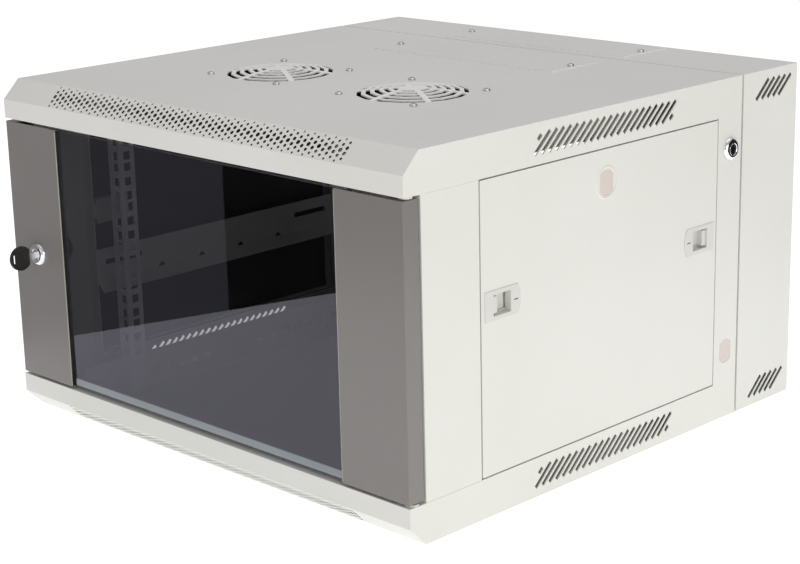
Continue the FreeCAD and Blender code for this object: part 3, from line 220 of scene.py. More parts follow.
# ---------------------------------------------------------------- materials
class Finish:
    """One procedural material, built up socket by socket."""

    def __init__(self, name):
        self.material = bpy.data.materials.new(name)
        self.material.use_nodes = True
        self.tree = self.material.node_tree
        self.shader = self.tree.nodes["Principled BSDF"]
        self.coordinates = self.tree.nodes.new("ShaderNodeTexCoord").outputs

    def set(self, **values):
        """Constants on the shader's own sockets."""
        for name, value in values.items():
            self.shader.inputs[name.replace("_", " ")].default_value = value
        return self

    def feed(self, socket, source):
        self.tree.links.new(source, self.shader.inputs[socket])
        return self

    def noise(self, scale, detail=2.0, stretch=None):
        node = self.tree.nodes.new("ShaderNodeTexNoise")
        node.inputs["Scale"].default_value = scale
        node.inputs["Detail"].default_value = detail
        place = self.coordinates["Object"]
        if stretch:
            mapping = self.tree.nodes.new("ShaderNodeMapping")
            mapping.inputs["Scale"].default_value = stretch
            self.tree.links.new(place, mapping.inputs["Vector"])
            place = mapping.outputs["Vector"]
        self.tree.links.new(place, node.inputs["Vector"])
        return node.outputs["Fac"]

    def ramp(self, source, low, high):
        """Colour that runs from low to high with the source."""
        node = self.tree.nodes.new("ShaderNodeValToRGB")
        for stop, position, colour in zip(node.color_ramp.elements, RAMP_SPAN, (low, high)):
            stop.position, stop.color = position, (*colour, 1.0)
        self.tree.links.new(source, node.inputs["Fac"])
        return node.outputs["Color"]

    def gloss(self, source, low, high):
        """Roughness that runs from low to high with the source."""
        node = self.tree.nodes.new("ShaderNodeMapRange")
        node.inputs["From Min"].default_value, node.inputs["From Max"].default_value = GLOSS_SPAN
        node.inputs["To Min"].default_value = low
        node.inputs["To Max"].default_value = high
        self.tree.links.new(source, node.inputs["Value"])
        return self.feed("Roughness", node.outputs["Result"])

    def relief(self, source, strength, depth):
        node = self.tree.nodes.new("ShaderNodeBump")
        node.inputs["Strength"].default_value = strength
        node.inputs["Distance"].default_value = depth
        self.tree.links.new(source, node.inputs["Height"])
        return self.feed("Normal", node.outputs["Normal"])

    def arithmetic(self, operation, *terms):
        """Math node over sockets and plain numbers."""
        node = self.tree.nodes.new("ShaderNodeMath")
        node.operation = operation
        for socket, term in zip(node.inputs, terms):
            if isinstance(term, float):
                socket.default_value = term
            else:
                self.tree.links.new(term, socket)
        return node.outputs["Value"]

    def peel(self, roughness):
        """The uneven gloss and fine orange peel of a powder coat."""
        self.gloss(self.noise(COAT_SHEEN), roughness - COAT_GLOSS, roughness + COAT_GLOSS)
        return self.relief(self.noise(COAT_PEEL, COAT_PEEL_DETAIL), *COAT_RELIEF)


def powder_coat(name, low, high, roughness):
    """Powder-coated sheet of a hardly varying tone."""
    finish = Finish(name)
    finish.feed("Base Color", finish.ramp(finish.noise(COAT_PATCHES), low, high))
    return finish.peel(roughness).material


def coat_with_inside_shade(name, outer, inner, roughness):
    """Powder coat on an upright side sheet, with painted shade on the face that looks inwards: a
    near-black tone that stands in for the dark inside of the cabinet.
    """
    finish = Finish(name)
    links = finish.tree.links
    shares = []
    for output in ("Object", "Normal"):
        split = finish.tree.nodes.new("ShaderNodeSeparateXYZ")
        links.new(finish.coordinates[output], split.inputs[0])
        shares.append(split.outputs["X"])
    outwards = finish.arithmetic("MULTIPLY", *shares)
    mix = finish.tree.nodes.new("ShaderNodeMix")
    mix.data_type = "RGBA"
    patches = finish.noise(COAT_PATCHES)
    # Faces that look inwards take the inner tones, which are painted shade
    links.new(finish.arithmetic("GREATER_THAN", outwards, INSIDE_SHADE_SIDE), mix.inputs["Factor"])
    links.new(finish.ramp(patches, *inner), mix.inputs["A"])
    links.new(finish.ramp(patches, *outer), mix.inputs["B"])
    finish.feed("Base Color", mix.outputs["Result"])
    return finish.peel(roughness).material


def plated(name, low, high, roughness, variation):
    """Bright metal with faint streaks."""
    finish = Finish(name).set(Metallic=1.0)
    streaks = finish.noise(PLATE_STREAKS, stretch=PLATE_STRETCH)
    finish.feed("Base Color", finish.ramp(streaks, low, high))
    finish.gloss(streaks, roughness, roughness + variation)
    return finish.relief(finish.noise(PLATE_GRAIN), *PLATE_RELIEF).material


def moulded(name, low, high, roughness):
    """Moulded plastic or rubber, with a fine eroded grain."""
    finish = Finish(name)
    finish.feed("Base Color", finish.ramp(finish.noise(MOULD_CLOUDS), low, high))
    finish.gloss(finish.noise(MOULD_SHEEN), roughness - MOULD_GLOSS, roughness + MOULD_GLOSS)
    return finish.relief(finish.noise(MOULD_GRAIN), *MOULD_RELIEF).material


def tinted_glass(name, low, high, index):
    """Thin smoked pane: what lies behind shows through its tint, and the face met first shines."""
    finish = Finish(name)
    nodes, links = finish.tree.nodes, finish.tree.links
    clear = nodes.new("ShaderNodeBsdfTransparent")
    links.new(finish.ramp(finish.noise(GLASS_CLOUDS), low, high), clear.inputs["Color"])
    shine = nodes.new("ShaderNodeBsdfGlossy")
    shine.inputs["Roughness"].default_value = 0.0
    shine.inputs["Color"].default_value = GLASS_SHINE
    fresnel = nodes.new("ShaderNodeFresnel")
    fresnel.inputs["IOR"].default_value = index
    facing = nodes.new("ShaderNodeNewGeometry")
    met_first = finish.arithmetic("MULTIPLY_ADD", facing.outputs["Backfacing"], -1.0, 1.0)
    share = finish.arithmetic("MULTIPLY", fresnel.outputs["Fac"], met_first)
    mix = nodes.new("ShaderNodeMixShader")
    links.new(share, mix.inputs["Fac"])
    links.new(clear.outputs["BSDF"], mix.inputs[1])
    links.new(shine.outputs["BSDF"], mix.inputs[2])
    links.new(mix.outputs["Shader"], nodes["Material Output"].inputs["Surface"])
    nodes.remove(finish.shader)
    return finish.material


def matt(name, low, high, glow=0.0):
    """Plain surface of the studio."""
    finish = Finish(name).set(Roughness=MATT_ROUGHNESS)
    finish.feed("Base Color", finish.ramp(finish.noise(MATT_CLOUDS), low, high))
    if glow:
        finish.set(Emission_Color=(1.0, 1.0, 1.0, 1.0), Emission_Strength=glow)
    return finish.material


# Each finish has its darkest and lightest tone, and its roughness; the glass has its index
CABINET_TONES = ((0.730, 0.738, 0.690), (0.760, 0.768, 0.722))
CABINET_ROUGHNESS = 0.42
# Painted shade: near-black tones on the side panels' inward faces, for the cabinet's dark inside
INSIDE_SHADE_TONES = ((0.045, 0.045, 0.047), (0.060, 0.060, 0.062))
MATERIALS = {
    "cabinet_steel": powder_coat("cabinet_powder_coat", *CABINET_TONES, CABINET_ROUGHNESS),
    "inner_steel": powder_coat(
        "inner_powder_coat", (0.76, 0.76, 0.73), (0.80, 0.80, 0.77), 0.45),
    "rail_steel": powder_coat("rail_powder_coat", (0.80, 0.80, 0.78), (0.84, 0.84, 0.82), 0.42),
    "door_steel": powder_coat(
        "door_powder_coat", (0.196, 0.188, 0.178), (0.210, 0.202, 0.191), 0.32),
    "tape_rubber": moulded("foam_tape", (0.55, 0.53, 0.50), (0.62, 0.60, 0.57), 0.7),
    "lock_chrome": plated("lock_chrome", (0.80, 0.80, 0.82), (0.86, 0.86, 0.88), 0.06, 0.04),
    "zinc_steel": plated("zinc_plating", (0.56, 0.57, 0.60), (0.68, 0.69, 0.71), 0.24, 0.10),
    "black_plastic": moulded(
        "black_plastic", (0.012, 0.012, 0.013), (0.020, 0.020, 0.021), 0.38),
    "latch_plastic": moulded("latch_plastic", (0.66, 0.66, 0.625), (0.69, 0.69, 0.655), 0.36),
    "plug_plastic": moulded("plug_plastic", (0.67, 0.605, 0.55), (0.70, 0.635, 0.58), 0.45),
    "smoked_glass": tinted_glass("smoked_glass", (0.53, 0.53, 0.55), (0.55, 0.55, 0.57), 1.62),
}
PANEL_COAT = coat_with_inside_shade("panel_powder_coat", CABINET_TONES, INSIDE_SHADE_TONES, CABINET_ROUGHNESS)
# Painted highlight: a lighter coat for the fan guards' lit slopes and the cable covers' lit cut
# edges
HIGHLIGHT_COAT = powder_coat("painted_highlight_coat", (0.86, 0.86, 0.83), (0.89, 0.89, 0.86), 0.40)
SEAL = moulded("bluish_seal", (0.235, 0.270, 0.290), (0.255, 0.290, 0.312), 0.35)
EDGE_TRIM = moulded("edge_trim", (0.50, 0.49, 0.40), (0.56, 0.55, 0.46), 0.5)
# Near-black tone with two uses: the real printed dashes on the latches, and painted shade on the
# walls of the bevels' holes
PRINT_AND_HOLE_SHADE = moulded("latch_print_and_hole_shade", (0.05, 0.05, 0.05), (0.07, 0.07, 0.07), 0.6)
SLOT_OF_NODE = {part["node"]: part["material_slot"] for part in frame["record"]["subparts"]}


# ---------------------------------------------------------------- meshes
def cleaned(mesh):
    """The mesh with its doubled corners merged and its flat faces joined."""
    work = bmesh.new()
    work.from_mesh(mesh)
    bmesh.ops.remove_doubles(work, verts=work.verts, dist=MERGE)
    bmesh.ops.dissolve_limit(work, angle_limit=FLAT_ANGLE, verts=work.verts, edges=work.edges)
    work.to_mesh(mesh)
    work.free()
    return mesh


def add_object(name, mesh):
    obj = bpy.data.objects.new(name, mesh)
    bpy.context.scene.collection.objects.link(obj)
    return obj


def object_from(name, vertices, faces):
    mesh = bpy.data.meshes.new(name)
    mesh.from_pydata([tuple(v) for v in vertices], [], faces)
    mesh.update()
    return add_object(name, mesh)


def evaluated(obj):
    """A new mesh with the object's modifiers in it."""
    graph = bpy.context.evaluated_depsgraph_get()
    return bpy.data.meshes.new_from_object(obj.evaluated_get(graph))


def apply_modifiers(obj):
    mesh = evaluated(obj)
    obj.modifiers.clear()
    old, obj.data = obj.data, mesh
    bpy.data.meshes.remove(old)
    return obj


def soften(obj, radius):
    """Small rounds on an object's sharp edges, with smooth shading between them."""
    bevel = obj.modifiers.new("rounded edges", "BEVEL")
    bevel.width = radius
    bevel.segments = ROUND_SEGMENTS
    bevel.limit_method = "ANGLE"
    bevel.angle_limit = SHARP_ANGLE
    bevel.harden_normals = True
    return obj


def smooth(obj):
    for face in obj.data.polygons:
        face.use_smooth = True
    obj.data.set_sharp_from_angle(angle=SHARP_ANGLE)
    return obj


def outward(obj):
    """The object with all its faces turned outwards."""
    work = bmesh.new()
    work.from_mesh(obj.data)
    bmesh.ops.recalc_face_normals(work, faces=work.faces)
    work.to_mesh(obj.data)
    work.free()
    return obj


def joined(name, objects):
    """One object out of several."""
    work = bmesh.new()
    for obj in objects:
        mesh = evaluated(obj)
        mesh.transform(obj.matrix_world)
        work.from_mesh(mesh)
        bpy.data.meshes.remove(mesh)
    mesh = bpy.data.meshes.new(name)
    work.to_mesh(mesh)
    work.free()
    for obj in objects:
        bpy.data.objects.remove(obj)
    return add_object(name, mesh)


def cut_away(obj, cutter):
    cut = obj.modifiers.new("cut", "BOOLEAN")
    cut.operation = "DIFFERENCE"
    cut.solver = "EXACT"
    cut.object = cutter
    apply_modifiers(obj)
    bpy.data.objects.remove(cutter)
    return obj


def finish_with(obj, slot, body, *nodes, material=None):
    """Gives a piece its material, that of its slot unless another is given, and its body, and
    hides the CAD nodes that it stands for.
    """
    obj.data.materials.clear()
    obj.data.materials.append(material or MATERIALS[slot])
    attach(obj, body)
    if nodes:
        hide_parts(*nodes)
    return obj


def further_material(obj, material):
    """Adds one more material to an object and returns its index."""
    obj.data.materials.append(material)
    return len(obj.data.materials) - 1


def islands(node):
    """(lowest, highest corner) of each separate solid of a CAD node."""
    work = bmesh.new()
    work.from_mesh(frame["nodes"][node].data)
    bmesh.ops.remove_doubles(work, verts=work.verts, dist=MERGE)
    seen = set()
    found = []
    for start in work.verts:
        if start in seen:
            continue
        group, queue = [], [start]
        seen.add(start)
        while queue:
            vertex = queue.pop()
            group.append(vertex.co.copy())
            for edge in vertex.link_edges:
                other = edge.other_vert(vertex)
                if other not in seen:
                    seen.add(other)
                    queue.append(other)
        low = Vector([min(v[i] for v in group) for i in range(3)])
        high = Vector([max(v[i] for v in group) for i in range(3)])
        found.append((low, high))
    work.free()
    return found


# ---------------------------------------------------------------- solids
def turns(count):
    """Angles of as many even steps round a circle."""
    return [2 * math.pi * k / count for k in range(count)]


def band(near, far):
    """Faces between two rings with as many corners each."""
    following = [(k + 1) % len(near) for k in range(len(near))]
    return [(near[k], near[n], far[n], far[k]) for k, n in enumerate(following)]


def capped(count, first=0):
    """Faces of a solid between two rings, the first of which starts at corner number first."""
    near = list(range(first, first + count))
    far = list(range(first + count, first + 2 * count))
    return [tuple(reversed(near)), tuple(far), *band(near, far)]


def block(name, low, high):
    """Box between two corners."""
    corners = [(x, y, z) for x in (low[0], high[0]) for y in (low[1], high[1])
               for z in (low[2], high[2])]
    faces = [(0, 1, 3, 2), (4, 6, 7, 5), (0, 4, 5, 1), (2, 3, 7, 6), (0, 2, 6, 4), (1, 5, 7, 3)]
    return object_from(name, corners, faces)


def prism(name, outline, x0, x1):
    """Solid between two places along X, from the (y, z) points of its outline."""
    vertices = [(x, y, z) for x in (x0, x1) for y, z in outline]
    return outward(object_from(name, vertices, capped(len(outline))))


def revolved(name, profile, sides, ring=False):
    """Solid of revolution round +Z from (radius, z) points: a ring's outline closes on itself,
    and any other starts and ends on the axis."""
    vertices, faces, rings = [], [], []
    for radius, z in profile:
        count = 1 if radius < MERGE else sides
        rings.append(list(range(len(vertices), len(vertices) + count)))
        vertices += [(radius * math.cos(angle), radius * math.sin(angle), z)
                     for angle in turns(count)]
    if ring:
        rings.append(rings[0])
    for near, far in zip(rings, rings[1:]):
        if len(near) == 1:
            faces += [(near[0], far[(k + 1) % sides], far[k]) for k in range(sides)]
        elif len(far) == 1:
            faces += [(near[k], near[(k + 1) % sides], far[0]) for k in range(sides)]
        else:
            faces += band(near, far)
    return smooth(outward(object_from(name, vertices, faces)))


# ---------------------------------------------------------------- perforated roof and floor
def roof_height():
    """Height of the flat roof, which the cable covers lie on."""
    return max(high.z for _, high in islands("main_cable_covers")) - COVER_THICKNESS


def perforations(front, side):
    """Cutter for the staggered holes of one bevel, larger towards the middle row: front is the
    bevel's foremost Y, and side is 1 on the roof and -1 under the floor."""
    centre = Vector((0.0, front + BEVEL / 2, roof_height() - BEVEL / 2 if side > 0 else BEVEL / 2))
    along = Vector((0.0, 1.0, side)).normalized()
    normal = Vector((0.0, -1.0, side)).normalized()
    start = -(HOLE_COLUMNS - 0.5) / 2 * HOLE_PITCH
    outermost = (HOLE_ROWS - 1) // 2
    vertices, faces = [], []
    for row in range(-outermost, outermost + 1):
        away = (abs(row) / outermost) ** HOLE_GRADING
        radius = HOLE_LARGEST + (HOLE_SMALLEST - HOLE_LARGEST) * away
        shift = HOLE_PITCH / 2 if row % 2 else 0.0
        for column in range(HOLE_COLUMNS):
            place = centre + along * (row * HOLE_ROW_PITCH)
            place = place + Vector((start + shift + column * HOLE_PITCH, 0.0, 0.0))
            faces += capped(HOLE_SIDES, len(vertices))
            for reach, wide in ((-HOLE_REACH, radius + HOLE_WIDENING), (HOLE_REACH, radius)):
                for angle in turns(HOLE_SIDES):
                    offset = Vector((1, 0, 0)) * math.cos(angle) + along * math.sin(angle)
                    vertices.append(place + offset * wide + normal * reach)
    return outward(object_from("perforation_cutter", vertices, faces))


def perforated_sheet(name, node, side):
    """Roof (side 1) or floor (side -1) with the holes of its front bevel, whose walls get painted
    shade: a near-black tone that makes the holes read dark.
    """
    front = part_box(node)[0].y
    sheet = add_object(name, cleaned(frame["nodes"][node].data.copy()))
    cut_away(sheet, perforations(front, side))
    finish_with(sheet, "cabinet_steel", "main_section", node)
    # Painted shade: the holes' walls take the near-black tone
    dark = further_material(sheet, PRINT_AND_HOLE_SHADE)
    bevel_normal = Vector((0.0, -1.0, side)).normalized()
    for face in sheet.data.polygons:
        in_bevel = front + HOLE_MARGIN < face.center.y < front + BEVEL - HOLE_MARGIN
        upright = abs(face.normal.dot(bevel_normal)) < EDGE_ON
        if in_bevel and upright and face.area < HOLE_WALL_AREA:
            face.material_index = dark
    return sheet


def paint_guard_highlights(sheet):
    """Painted highlight: a lighter coat on the domed fan guards that are pressed from the roof,
    where their slopes catch the light.
    """
    bright = further_material(sheet, HIGHLIGHT_COAT)
    roof = roof_height()
    for fan in ("fan_frame_left", "fan_frame_right"):
        low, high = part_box(fan)
        centre = (low + high) / 2
        reach = (high.x - low.x) / 2
        for face in sheet.data.polygons:
            away = math.hypot(face.center.x - centre.x, face.center.y - centre.y)
            pressed = face.center.z > roof + MERGE or abs(face.normal.z) < ROOF_LEVEL
            if away < reach and pressed:
                face.material_index = bright


paint_guard_highlights(perforated_sheet("roof_sheet", "roof_panel", 1.0))
perforated_sheet("floor_sheet", "floor_panel", -1.0)


# ---------------------------------------------------------------- cable covers and screws
def covers_with_painted_edge_highlights(node, body):
    """Cable covers with a painted highlight, a lighter coat, on their cut edges where light
    catches them.
    """
    covers = add_object(node + "_plates", cleaned(frame["nodes"][node].data.copy()))
    finish_with(covers, "cabinet_steel", body, node)
    # Painted highlight on the cut edges
    bright = further_material(covers, HIGHLIGHT_COAT)
    for face in covers.data.polygons:
        if abs(face.normal.z) < EDGE_ON:
            face.material_index = bright


def pan_screw(name):
    """Pan head with a cross recess, standing on Z = 0."""
    radius, rise = SCREW_HEAD_RADIUS, SCREW_HEAD_HEIGHT
    profile = [(0.0, 0.0), (radius, 0.0), (radius, rise * SCREW_RIM)]
    for k in range(1, SCREW_CURVE_STEPS):
        angle = math.pi / 2 * k / SCREW_CURVE_STEPS
        profile.append((radius * (SCREW_CROWN + (1 - SCREW_CROWN) * math.cos(angle)),
                        rise * (SCREW_RIM + (1 - SCREW_RIM) * math.sin(angle))))
    profile.append((0.0, rise))
    head = revolved(name, profile, SCREW_SIDES)
    half, arm = SCREW_CROSS / 2, radius * SCREW_CROSS_REACH
    floor, top = rise * SCREW_CROSS_FLOOR, rise * SCREW_CROSS_TOP
    for x, y in ((arm, half), (half, arm)):
        cut_away(head, block("cross_cutter", (-x, -y, floor), (x, y, top)))
    return smooth(head)


def screws(node, body):
    """A cross-recessed screw at each place of a CAD screw node."""
    heads = []
    for index, (low, high) in enumerate(islands(node)):
        head = pan_screw("%s_%d" % (node, index))
        centre = (low + high) / 2
        seat = Matrix.Translation((centre.x, centre.y, high.z - SCREW_HEAD_HEIGHT))
        turn = Matrix.Rotation(SCREW_NEXT_TURN * index + SCREW_FIRST_TURN, 4, "Z")
        head.matrix_world = seat @ turn
        heads.append(head)
    bpy.context.view_layer.update()
    finish_with(smooth(joined(node + "_heads", heads)), "zinc_steel", body, node)


covers_with_painted_edge_highlights("main_cable_covers", "main_section")
covers_with_painted_edge_highlights("wall_cable_covers", "wall_section")
screws("main_sheet_screws", "main_section")
screws("wall_sheet_screws", "wall_section")


# ---------------------------------------------------------------- locks and key
def lock(name, housing, barrel, body, barrel_body, axis):
    """Domed lock housing and its barrel with a keyway; axis points out of the sheet."""
    low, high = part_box(housing)
    barrel_low, barrel_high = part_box(barrel)
    along = max(range(3), key=lambda i: abs(axis[i]))
    across = 1 if along == 0 else 0
    ahead = axis[along] > 0
    front = (high if ahead else low)[along]
    tip = (barrel_high if ahead else barrel_low)[along]
    seat = (low + high) / 2
    seat[along] = front
    place = Matrix.Translation(seat) @ axis.to_track_quat("Z", "X").to_matrix().to_4x4()

    outer = (high[across] - low[across]) / 2
    bore = (barrel_high[across] - barrel_low[across]) / 2
    hole = bore + BORE_GAP
    neck = outer * LOCK_NECK
    depth = high[along] - low[along]
    outline = [(neck, -depth), (neck, -LOCK_DOME)]
    outline += [(outer * wide, -LOCK_DOME * deep) for wide, deep in LOCK_CURVE]
    outline += [(hole + wide, -deep) for wide, deep in LOCK_MOUTH]
    outline.append((hole, -depth))
    case = revolved(name + "_case", outline, LOCK_SIDES, ring=True)
    case.data.transform(place)
    finish_with(case, "lock_chrome", body, housing)

    sunk = abs(front - tip)
    end = -sunk - (barrel_high[along] - barrel_low[along])
    outline = [(0.0, end), (bore, end), (bore, -sunk - BARREL_CHAMFER),
               (bore - BARREL_CHAMFER, -sunk), (0.0, -sunk)]
    plug = revolved(name + "_barrel", outline, BARREL_SIDES)
    half_width, half_height = KEYWAY_WIDTH / 2, KEYWAY_HEIGHT / 2
    cut_away(plug, block("keyway_cutter", (-half_height, -half_width, -sunk - KEYWAY_DEPTH),
                         (half_height, half_width, OVERSHOOT)))
    smooth(plug)
    plug.data.transform(place)
    finish_with(plug, "lock_chrome", barrel_body, barrel)


def key_bow():
    """Round moulded bow, flattened towards the lock, with a rim, grip ribs and a ring's slot."""
    low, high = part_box("key_bow")
    centre = (low + high) / 2
    half_y, half_z = (high.y - low.y) / 2, (high.z - low.z) / 2
    outline = []
    for angle in turns(BOW_SIDES):
        y = (1 + BOW_FLAT) * half_y * math.cos(angle) + BOW_FLAT * half_y
        outline.append((max(-half_y, min(half_y, y)), half_z * math.sin(angle)))

    def disc(name, x0, x1, inset):
        scale_y, scale_z = 1 - inset / half_y, 1 - inset / half_z
        shrunk = [(centre.y + y * scale_y, centre.z + z * scale_z) for y, z in outline]
        return prism(name, shrunk, x0, x1)

    bow = disc("key_grip", low.x, high.x, 0.0)
    for x0, x1 in ((low.x - OVERSHOOT, low.x + BOW_RECESS),
                   (high.x - BOW_RECESS, high.x + OVERSHOOT)):
        cut_away(bow, disc("bow_cutter", x0, x1, BOW_RIM))
    slot_y = low.y + BOW_SLOT_INSET
    half_width, half_height = BOW_SLOT_WIDTH / 2, BOW_SLOT_HEIGHT / 2
    cut_away(bow, block(
        "slot_cutter",
        (low.x - OVERSHOOT, slot_y - half_width, centre.z - half_height),
        (high.x + OVERSHOOT, slot_y + half_width, centre.z + half_height),
    ))
    pieces = [bow]
    for k in range(RIBS):
        y = centre.y + RIB_START + RIB_PITCH * k
        pieces.append(block(
            "rib",
            (low.x + RIB_SUNK, y - RIB_WIDTH / 2, centre.z - RIB_LENGTH / 2),
            (high.x - RIB_SUNK, y + RIB_WIDTH / 2, centre.z + RIB_LENGTH / 2),
        ))
    grip = soften(joined("key_grip_moulding", pieces), BOW_ROUND)
    finish_with(smooth(apply_modifiers(grip)), "black_plastic", "key", "key_bow")


lock("door_lock", "door_lock_housing", "door_lock_plug", "door", "door_lock", Vector((0, -1, 0)))
lock("section_lock", "section_lock_housing", "section_lock_plug", "main_section",
     "section_lock", Vector((1, 0, 0)))
key_bow()


# ---------------------------------------------------------------- trim of panels and door
def panel_trim(side, sign):
    """Embossed rim round a panel's plug, and the dark dash that marks each latch."""
    body = "side_panel_" + side
    low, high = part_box(body)
    face = high.x if sign > 0 else low.x
    plug_low, plug_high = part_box("panel_hole_plug_" + side)
    centre = (plug_low + plug_high) / 2
    crest = [(RIM_INNER + RIM_WIDTH * out, RIM_RISE * up) for out, up in RIM_CURVE]
    outline = [(RIM_INNER, -RIM_SUNK), *crest, (RIM_INNER + RIM_WIDTH * RIM_FOOT, -RIM_SUNK)]
    rim = revolved("panel_rim_" + side, outline, RIM_SIDES, ring=True)
    turn = Vector((sign, 0, 0)).to_track_quat("Z", "Y").to_matrix().to_4x4()
    rim.data.transform(Matrix.Translation((face, centre.y, centre.z)) @ turn)
    finish_with(rim, "cabinet_steel", body)

    dashes = []
    for latch_low, latch_high in islands("latch_housings_" + side):
        in_front = latch_low.y < centre.y
        y = latch_high.y - DASH_INSET if in_front else latch_low.y + DASH_INSET
        z = (latch_low.z + latch_high.z) / 2
        outer = latch_high.x if sign > 0 else latch_low.x
        x0, x1 = sorted((outer - sign * DASH_SUNK, outer + sign * DASH_PROUD))
        dashes.append(block("dash", (x0, y - DASH_LENGTH / 2, z - DASH_HEIGHT / 2),
                            (x1, y + DASH_LENGTH / 2, z + DASH_HEIGHT / 2)))
    marks = joined("latch_marks_" + side, dashes)
    finish_with(marks, "black_plastic", body, material=PRINT_AND_HOLE_SHADE)


def stile_edges():
    """Pale tape on each stile's edge, and a black strip between that edge and the glass, which is
    painted shade of the gap there.
    """
    glass_low, glass_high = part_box("door_glass")
    z0, z1 = glass_low.z + TRIM_SHORT, glass_high.z - TRIM_SHORT
    tapes, shade_strips = [], []
    for side, inwards in (("left", 1), ("right", -1)):
        low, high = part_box("door_stile_" + side)
        edge = high.x if inwards > 0 else low.x
        behind_tape = low.y + EDGE_TAPE_DEPTH
        for strips, width, y0, y1 in (
            (tapes, EDGE_TAPE, low.y + TRIM_GAP, behind_tape),
            (shade_strips, SHADE_STRIP_WIDTH, behind_tape, glass_low.y - TRIM_GAP),
        ):
            x0, x1 = sorted((edge, edge + inwards * width))
            strips.append(block("strip", (x0, y0, z0), (x1, y1, z1)))
    finish_with(joined("stile_edge_tapes", tapes), "tape_rubber", "door", material=EDGE_TRIM)
    # Painted shade: black strips stand in for the shadowed gap between stile and glass
    finish_with(joined("glass_gap_shade_strips", shade_strips), "black_plastic", "door")


def glass_seal():
    """Pale seal along the glass's lower edge, its lower third turned in."""
    glass_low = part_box("door_glass")[0]
    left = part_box("door_stile_left")[1].x + SHADE_STRIP_WIDTH + SEAL_LEFT_GAP
    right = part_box("door_stile_right")[0].x - SHADE_STRIP_WIDTH
    z0, z1 = glass_low.z + SEAL_LOW, glass_low.z + SEAL_HIGH
    face = glass_low.y - SEAL_CLEARANCE
    outline = [
        (face, z0),
        (face, z1),
        (face - SEAL_PROUD * SEAL_TOP, z1 - SEAL_CHAMFER),
        (face - SEAL_PROUD, z0 + (z1 - z0) * SEAL_TURN),
        (face - SEAL_PROUD * SEAL_FOOT, z0),
    ]
    seal = prism("glass_bottom_seal", outline, left, right)
    finish_with(seal, "tape_rubber", "door", material=SEAL)


panel_trim("left", -1.0)
panel_trim("right", 1.0)
stile_edges()
glass_seal()


# ---------------------------------------------------------------- CAD nodes that show as they are
for node, obj in frame["nodes"].items():
    if obj.hide_render:
        continue
    slot = SLOT_OF_NODE[node]
    obj.data.materials.clear()
    # Side panels take the coat whose inward faces carry painted shade
    obj.data.materials.append(PANEL_COAT if node.startswith("side_panel") else MATERIALS[slot])
    obj.modifiers.new("merged corners", "WELD").merge_threshold = MERGE
    flat = obj.modifiers.new("flat faces", "DECIMATE")
    flat.decimate_type = "DISSOLVE"
    flat.angle_limit = FLAT_ANGLE
    soften(obj, BEND_RADIUS if slot in FOLDED_SLOTS else SMALL_RADIUS)


# ---------------------------------------------------------------- stage
def stage_object(name, vertices, faces, material):
    obj = object_from(name, vertices, faces)
    obj.data.materials.append(material)
    return obj


def unseen_by(obj, *rays):
    """Hides an object from some kinds of ray."""
    for ray in rays:
        setattr(obj, "visible_" + ray, False)


def upright_card(name, start, end, height, material):
    """A studio card that polished surfaces mirror and nothing else meets."""
    corners = [(*start, 0.0), (*end, 0.0), (*end, height), (*start, height)]
    card = stage_object(name, corners, [(0, 1, 2, 3)], material)
    unseen_by(card, "camera", "diffuse", "transmission", "shadow")


def area_light(name, place, target, size, power, tint):
    data = bpy.data.lights.new(name, "AREA")
    data.shape = "RECTANGLE"
    data.size, data.size_y = size
    data.energy = power
    data.color = tint
    light = add_object(name, data)
    light.location = place
    aim = Vector(target) - Vector(place)
    light.rotation_euler = aim.to_track_quat("-Z", "Y").to_euler()


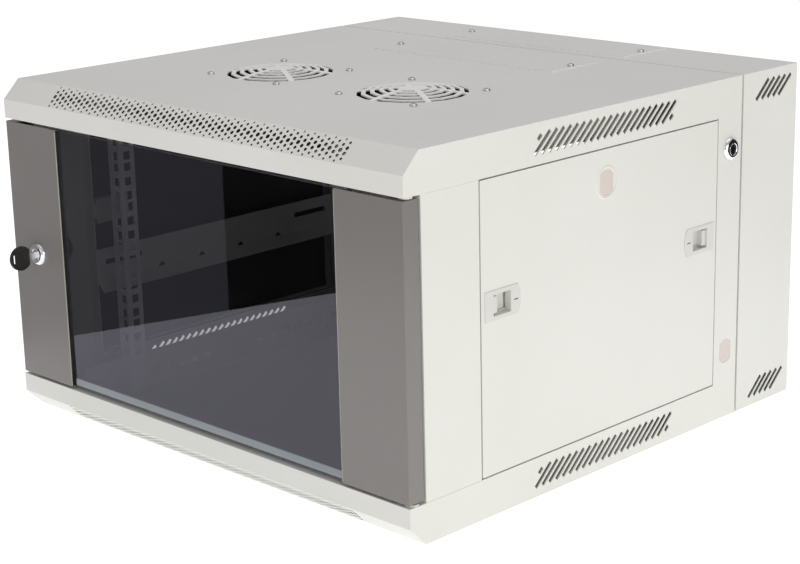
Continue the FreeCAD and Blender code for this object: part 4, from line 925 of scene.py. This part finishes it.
def set_floor_and_backdrop():
    """Pale floor, and a white wall all round it that only the camera meets."""
    reach = FLOOR_REACH
    corners = [(-reach, -reach, 0), (reach, -reach, 0), (reach, reach, 0), (-reach, reach, 0)]
    stage_object("floor", corners, [(0, 1, 2, 3)], matt("pale_floor", *FLOOR_TONES, FLOOR_GLOW))

    circle = [(BACKDROP_RADIUS * math.cos(angle), BACKDROP_RADIUS * math.sin(angle))
              for angle in turns(BACKDROP_SIDES)]
    vertices = [(x, y, z) for z in (BACKDROP_LOW, BACKDROP_HIGH) for x, y in circle]
    faces = band(range(BACKDROP_SIDES), range(BACKDROP_SIDES, 2 * BACKDROP_SIDES))
    white = matt("white_wall", *BACKDROP_TONES, BACKDROP_GLOW)
    backdrop = stage_object("backdrop", vertices, faces, white)
    unseen_by(backdrop, "diffuse", "glossy", "transmission", "shadow")


def set_cards():
    """Two cards left of the door, so that the glass mirrors a grey field and then a black one,
    and a black card behind the right side."""
    black = matt("black_card", *CARD_TONES)
    grey = matt("grey_card", *CARD_TONES, CARD_GLOW)
    along = (CARD_TOWARDS - CARD_START).normalized()
    change = CARD_START + along * CARD_GREY
    upright_card("grey_reflector", CARD_START - along * CARD_BEFORE, change, CARD_HEIGHT, grey)
    upright_card("black_reflector", change, change + along * CARD_BLACK, CARD_HEIGHT, black)
    upright_card("side_reflector", *SIDE_CARD, SIDE_CARD_HEIGHT, black)


def set_world():
    world = bpy.data.worlds.new("studio")
    bpy.context.scene.world = world
    world.use_nodes = True
    background = world.node_tree.nodes["Background"]
    background.inputs["Color"].default_value = SKY_TINT
    background.inputs["Strength"].default_value = SKY_STRENGTH
    bpy.context.scene.view_settings.view_transform = "Standard"


def place_camera():
    data = bpy.data.cameras.new("camera")
    data.lens = CAMERA_LENS
    data.sensor_width = SENSOR_WIDTH
    data.sensor_fit = "HORIZONTAL"
    camera = add_object("camera", data)
    level = math.cos(CAMERA_ELEVATION)
    forward = Vector((
        -math.sin(CAMERA_AZIMUTH) * level,
        math.cos(CAMERA_AZIMUTH) * level,
        -math.sin(CAMERA_ELEVATION),
    ))
    right = forward.cross(Vector((0, 0, 1))).normalized()
    up = right.cross(forward)
    rolled = right * math.cos(CAMERA_ROLL) + up * math.sin(CAMERA_ROLL)
    turn = Matrix((rolled, rolled.cross(forward), -forward)).transposed().to_4x4()
    camera.matrix_world = Matrix.Translation(CAMERA_PLACE) @ turn
    bpy.context.scene.camera = camera


set_floor_and_backdrop()
set_cards()
for light in LIGHTS:
    area_light(*light)
set_world()
place_camera()
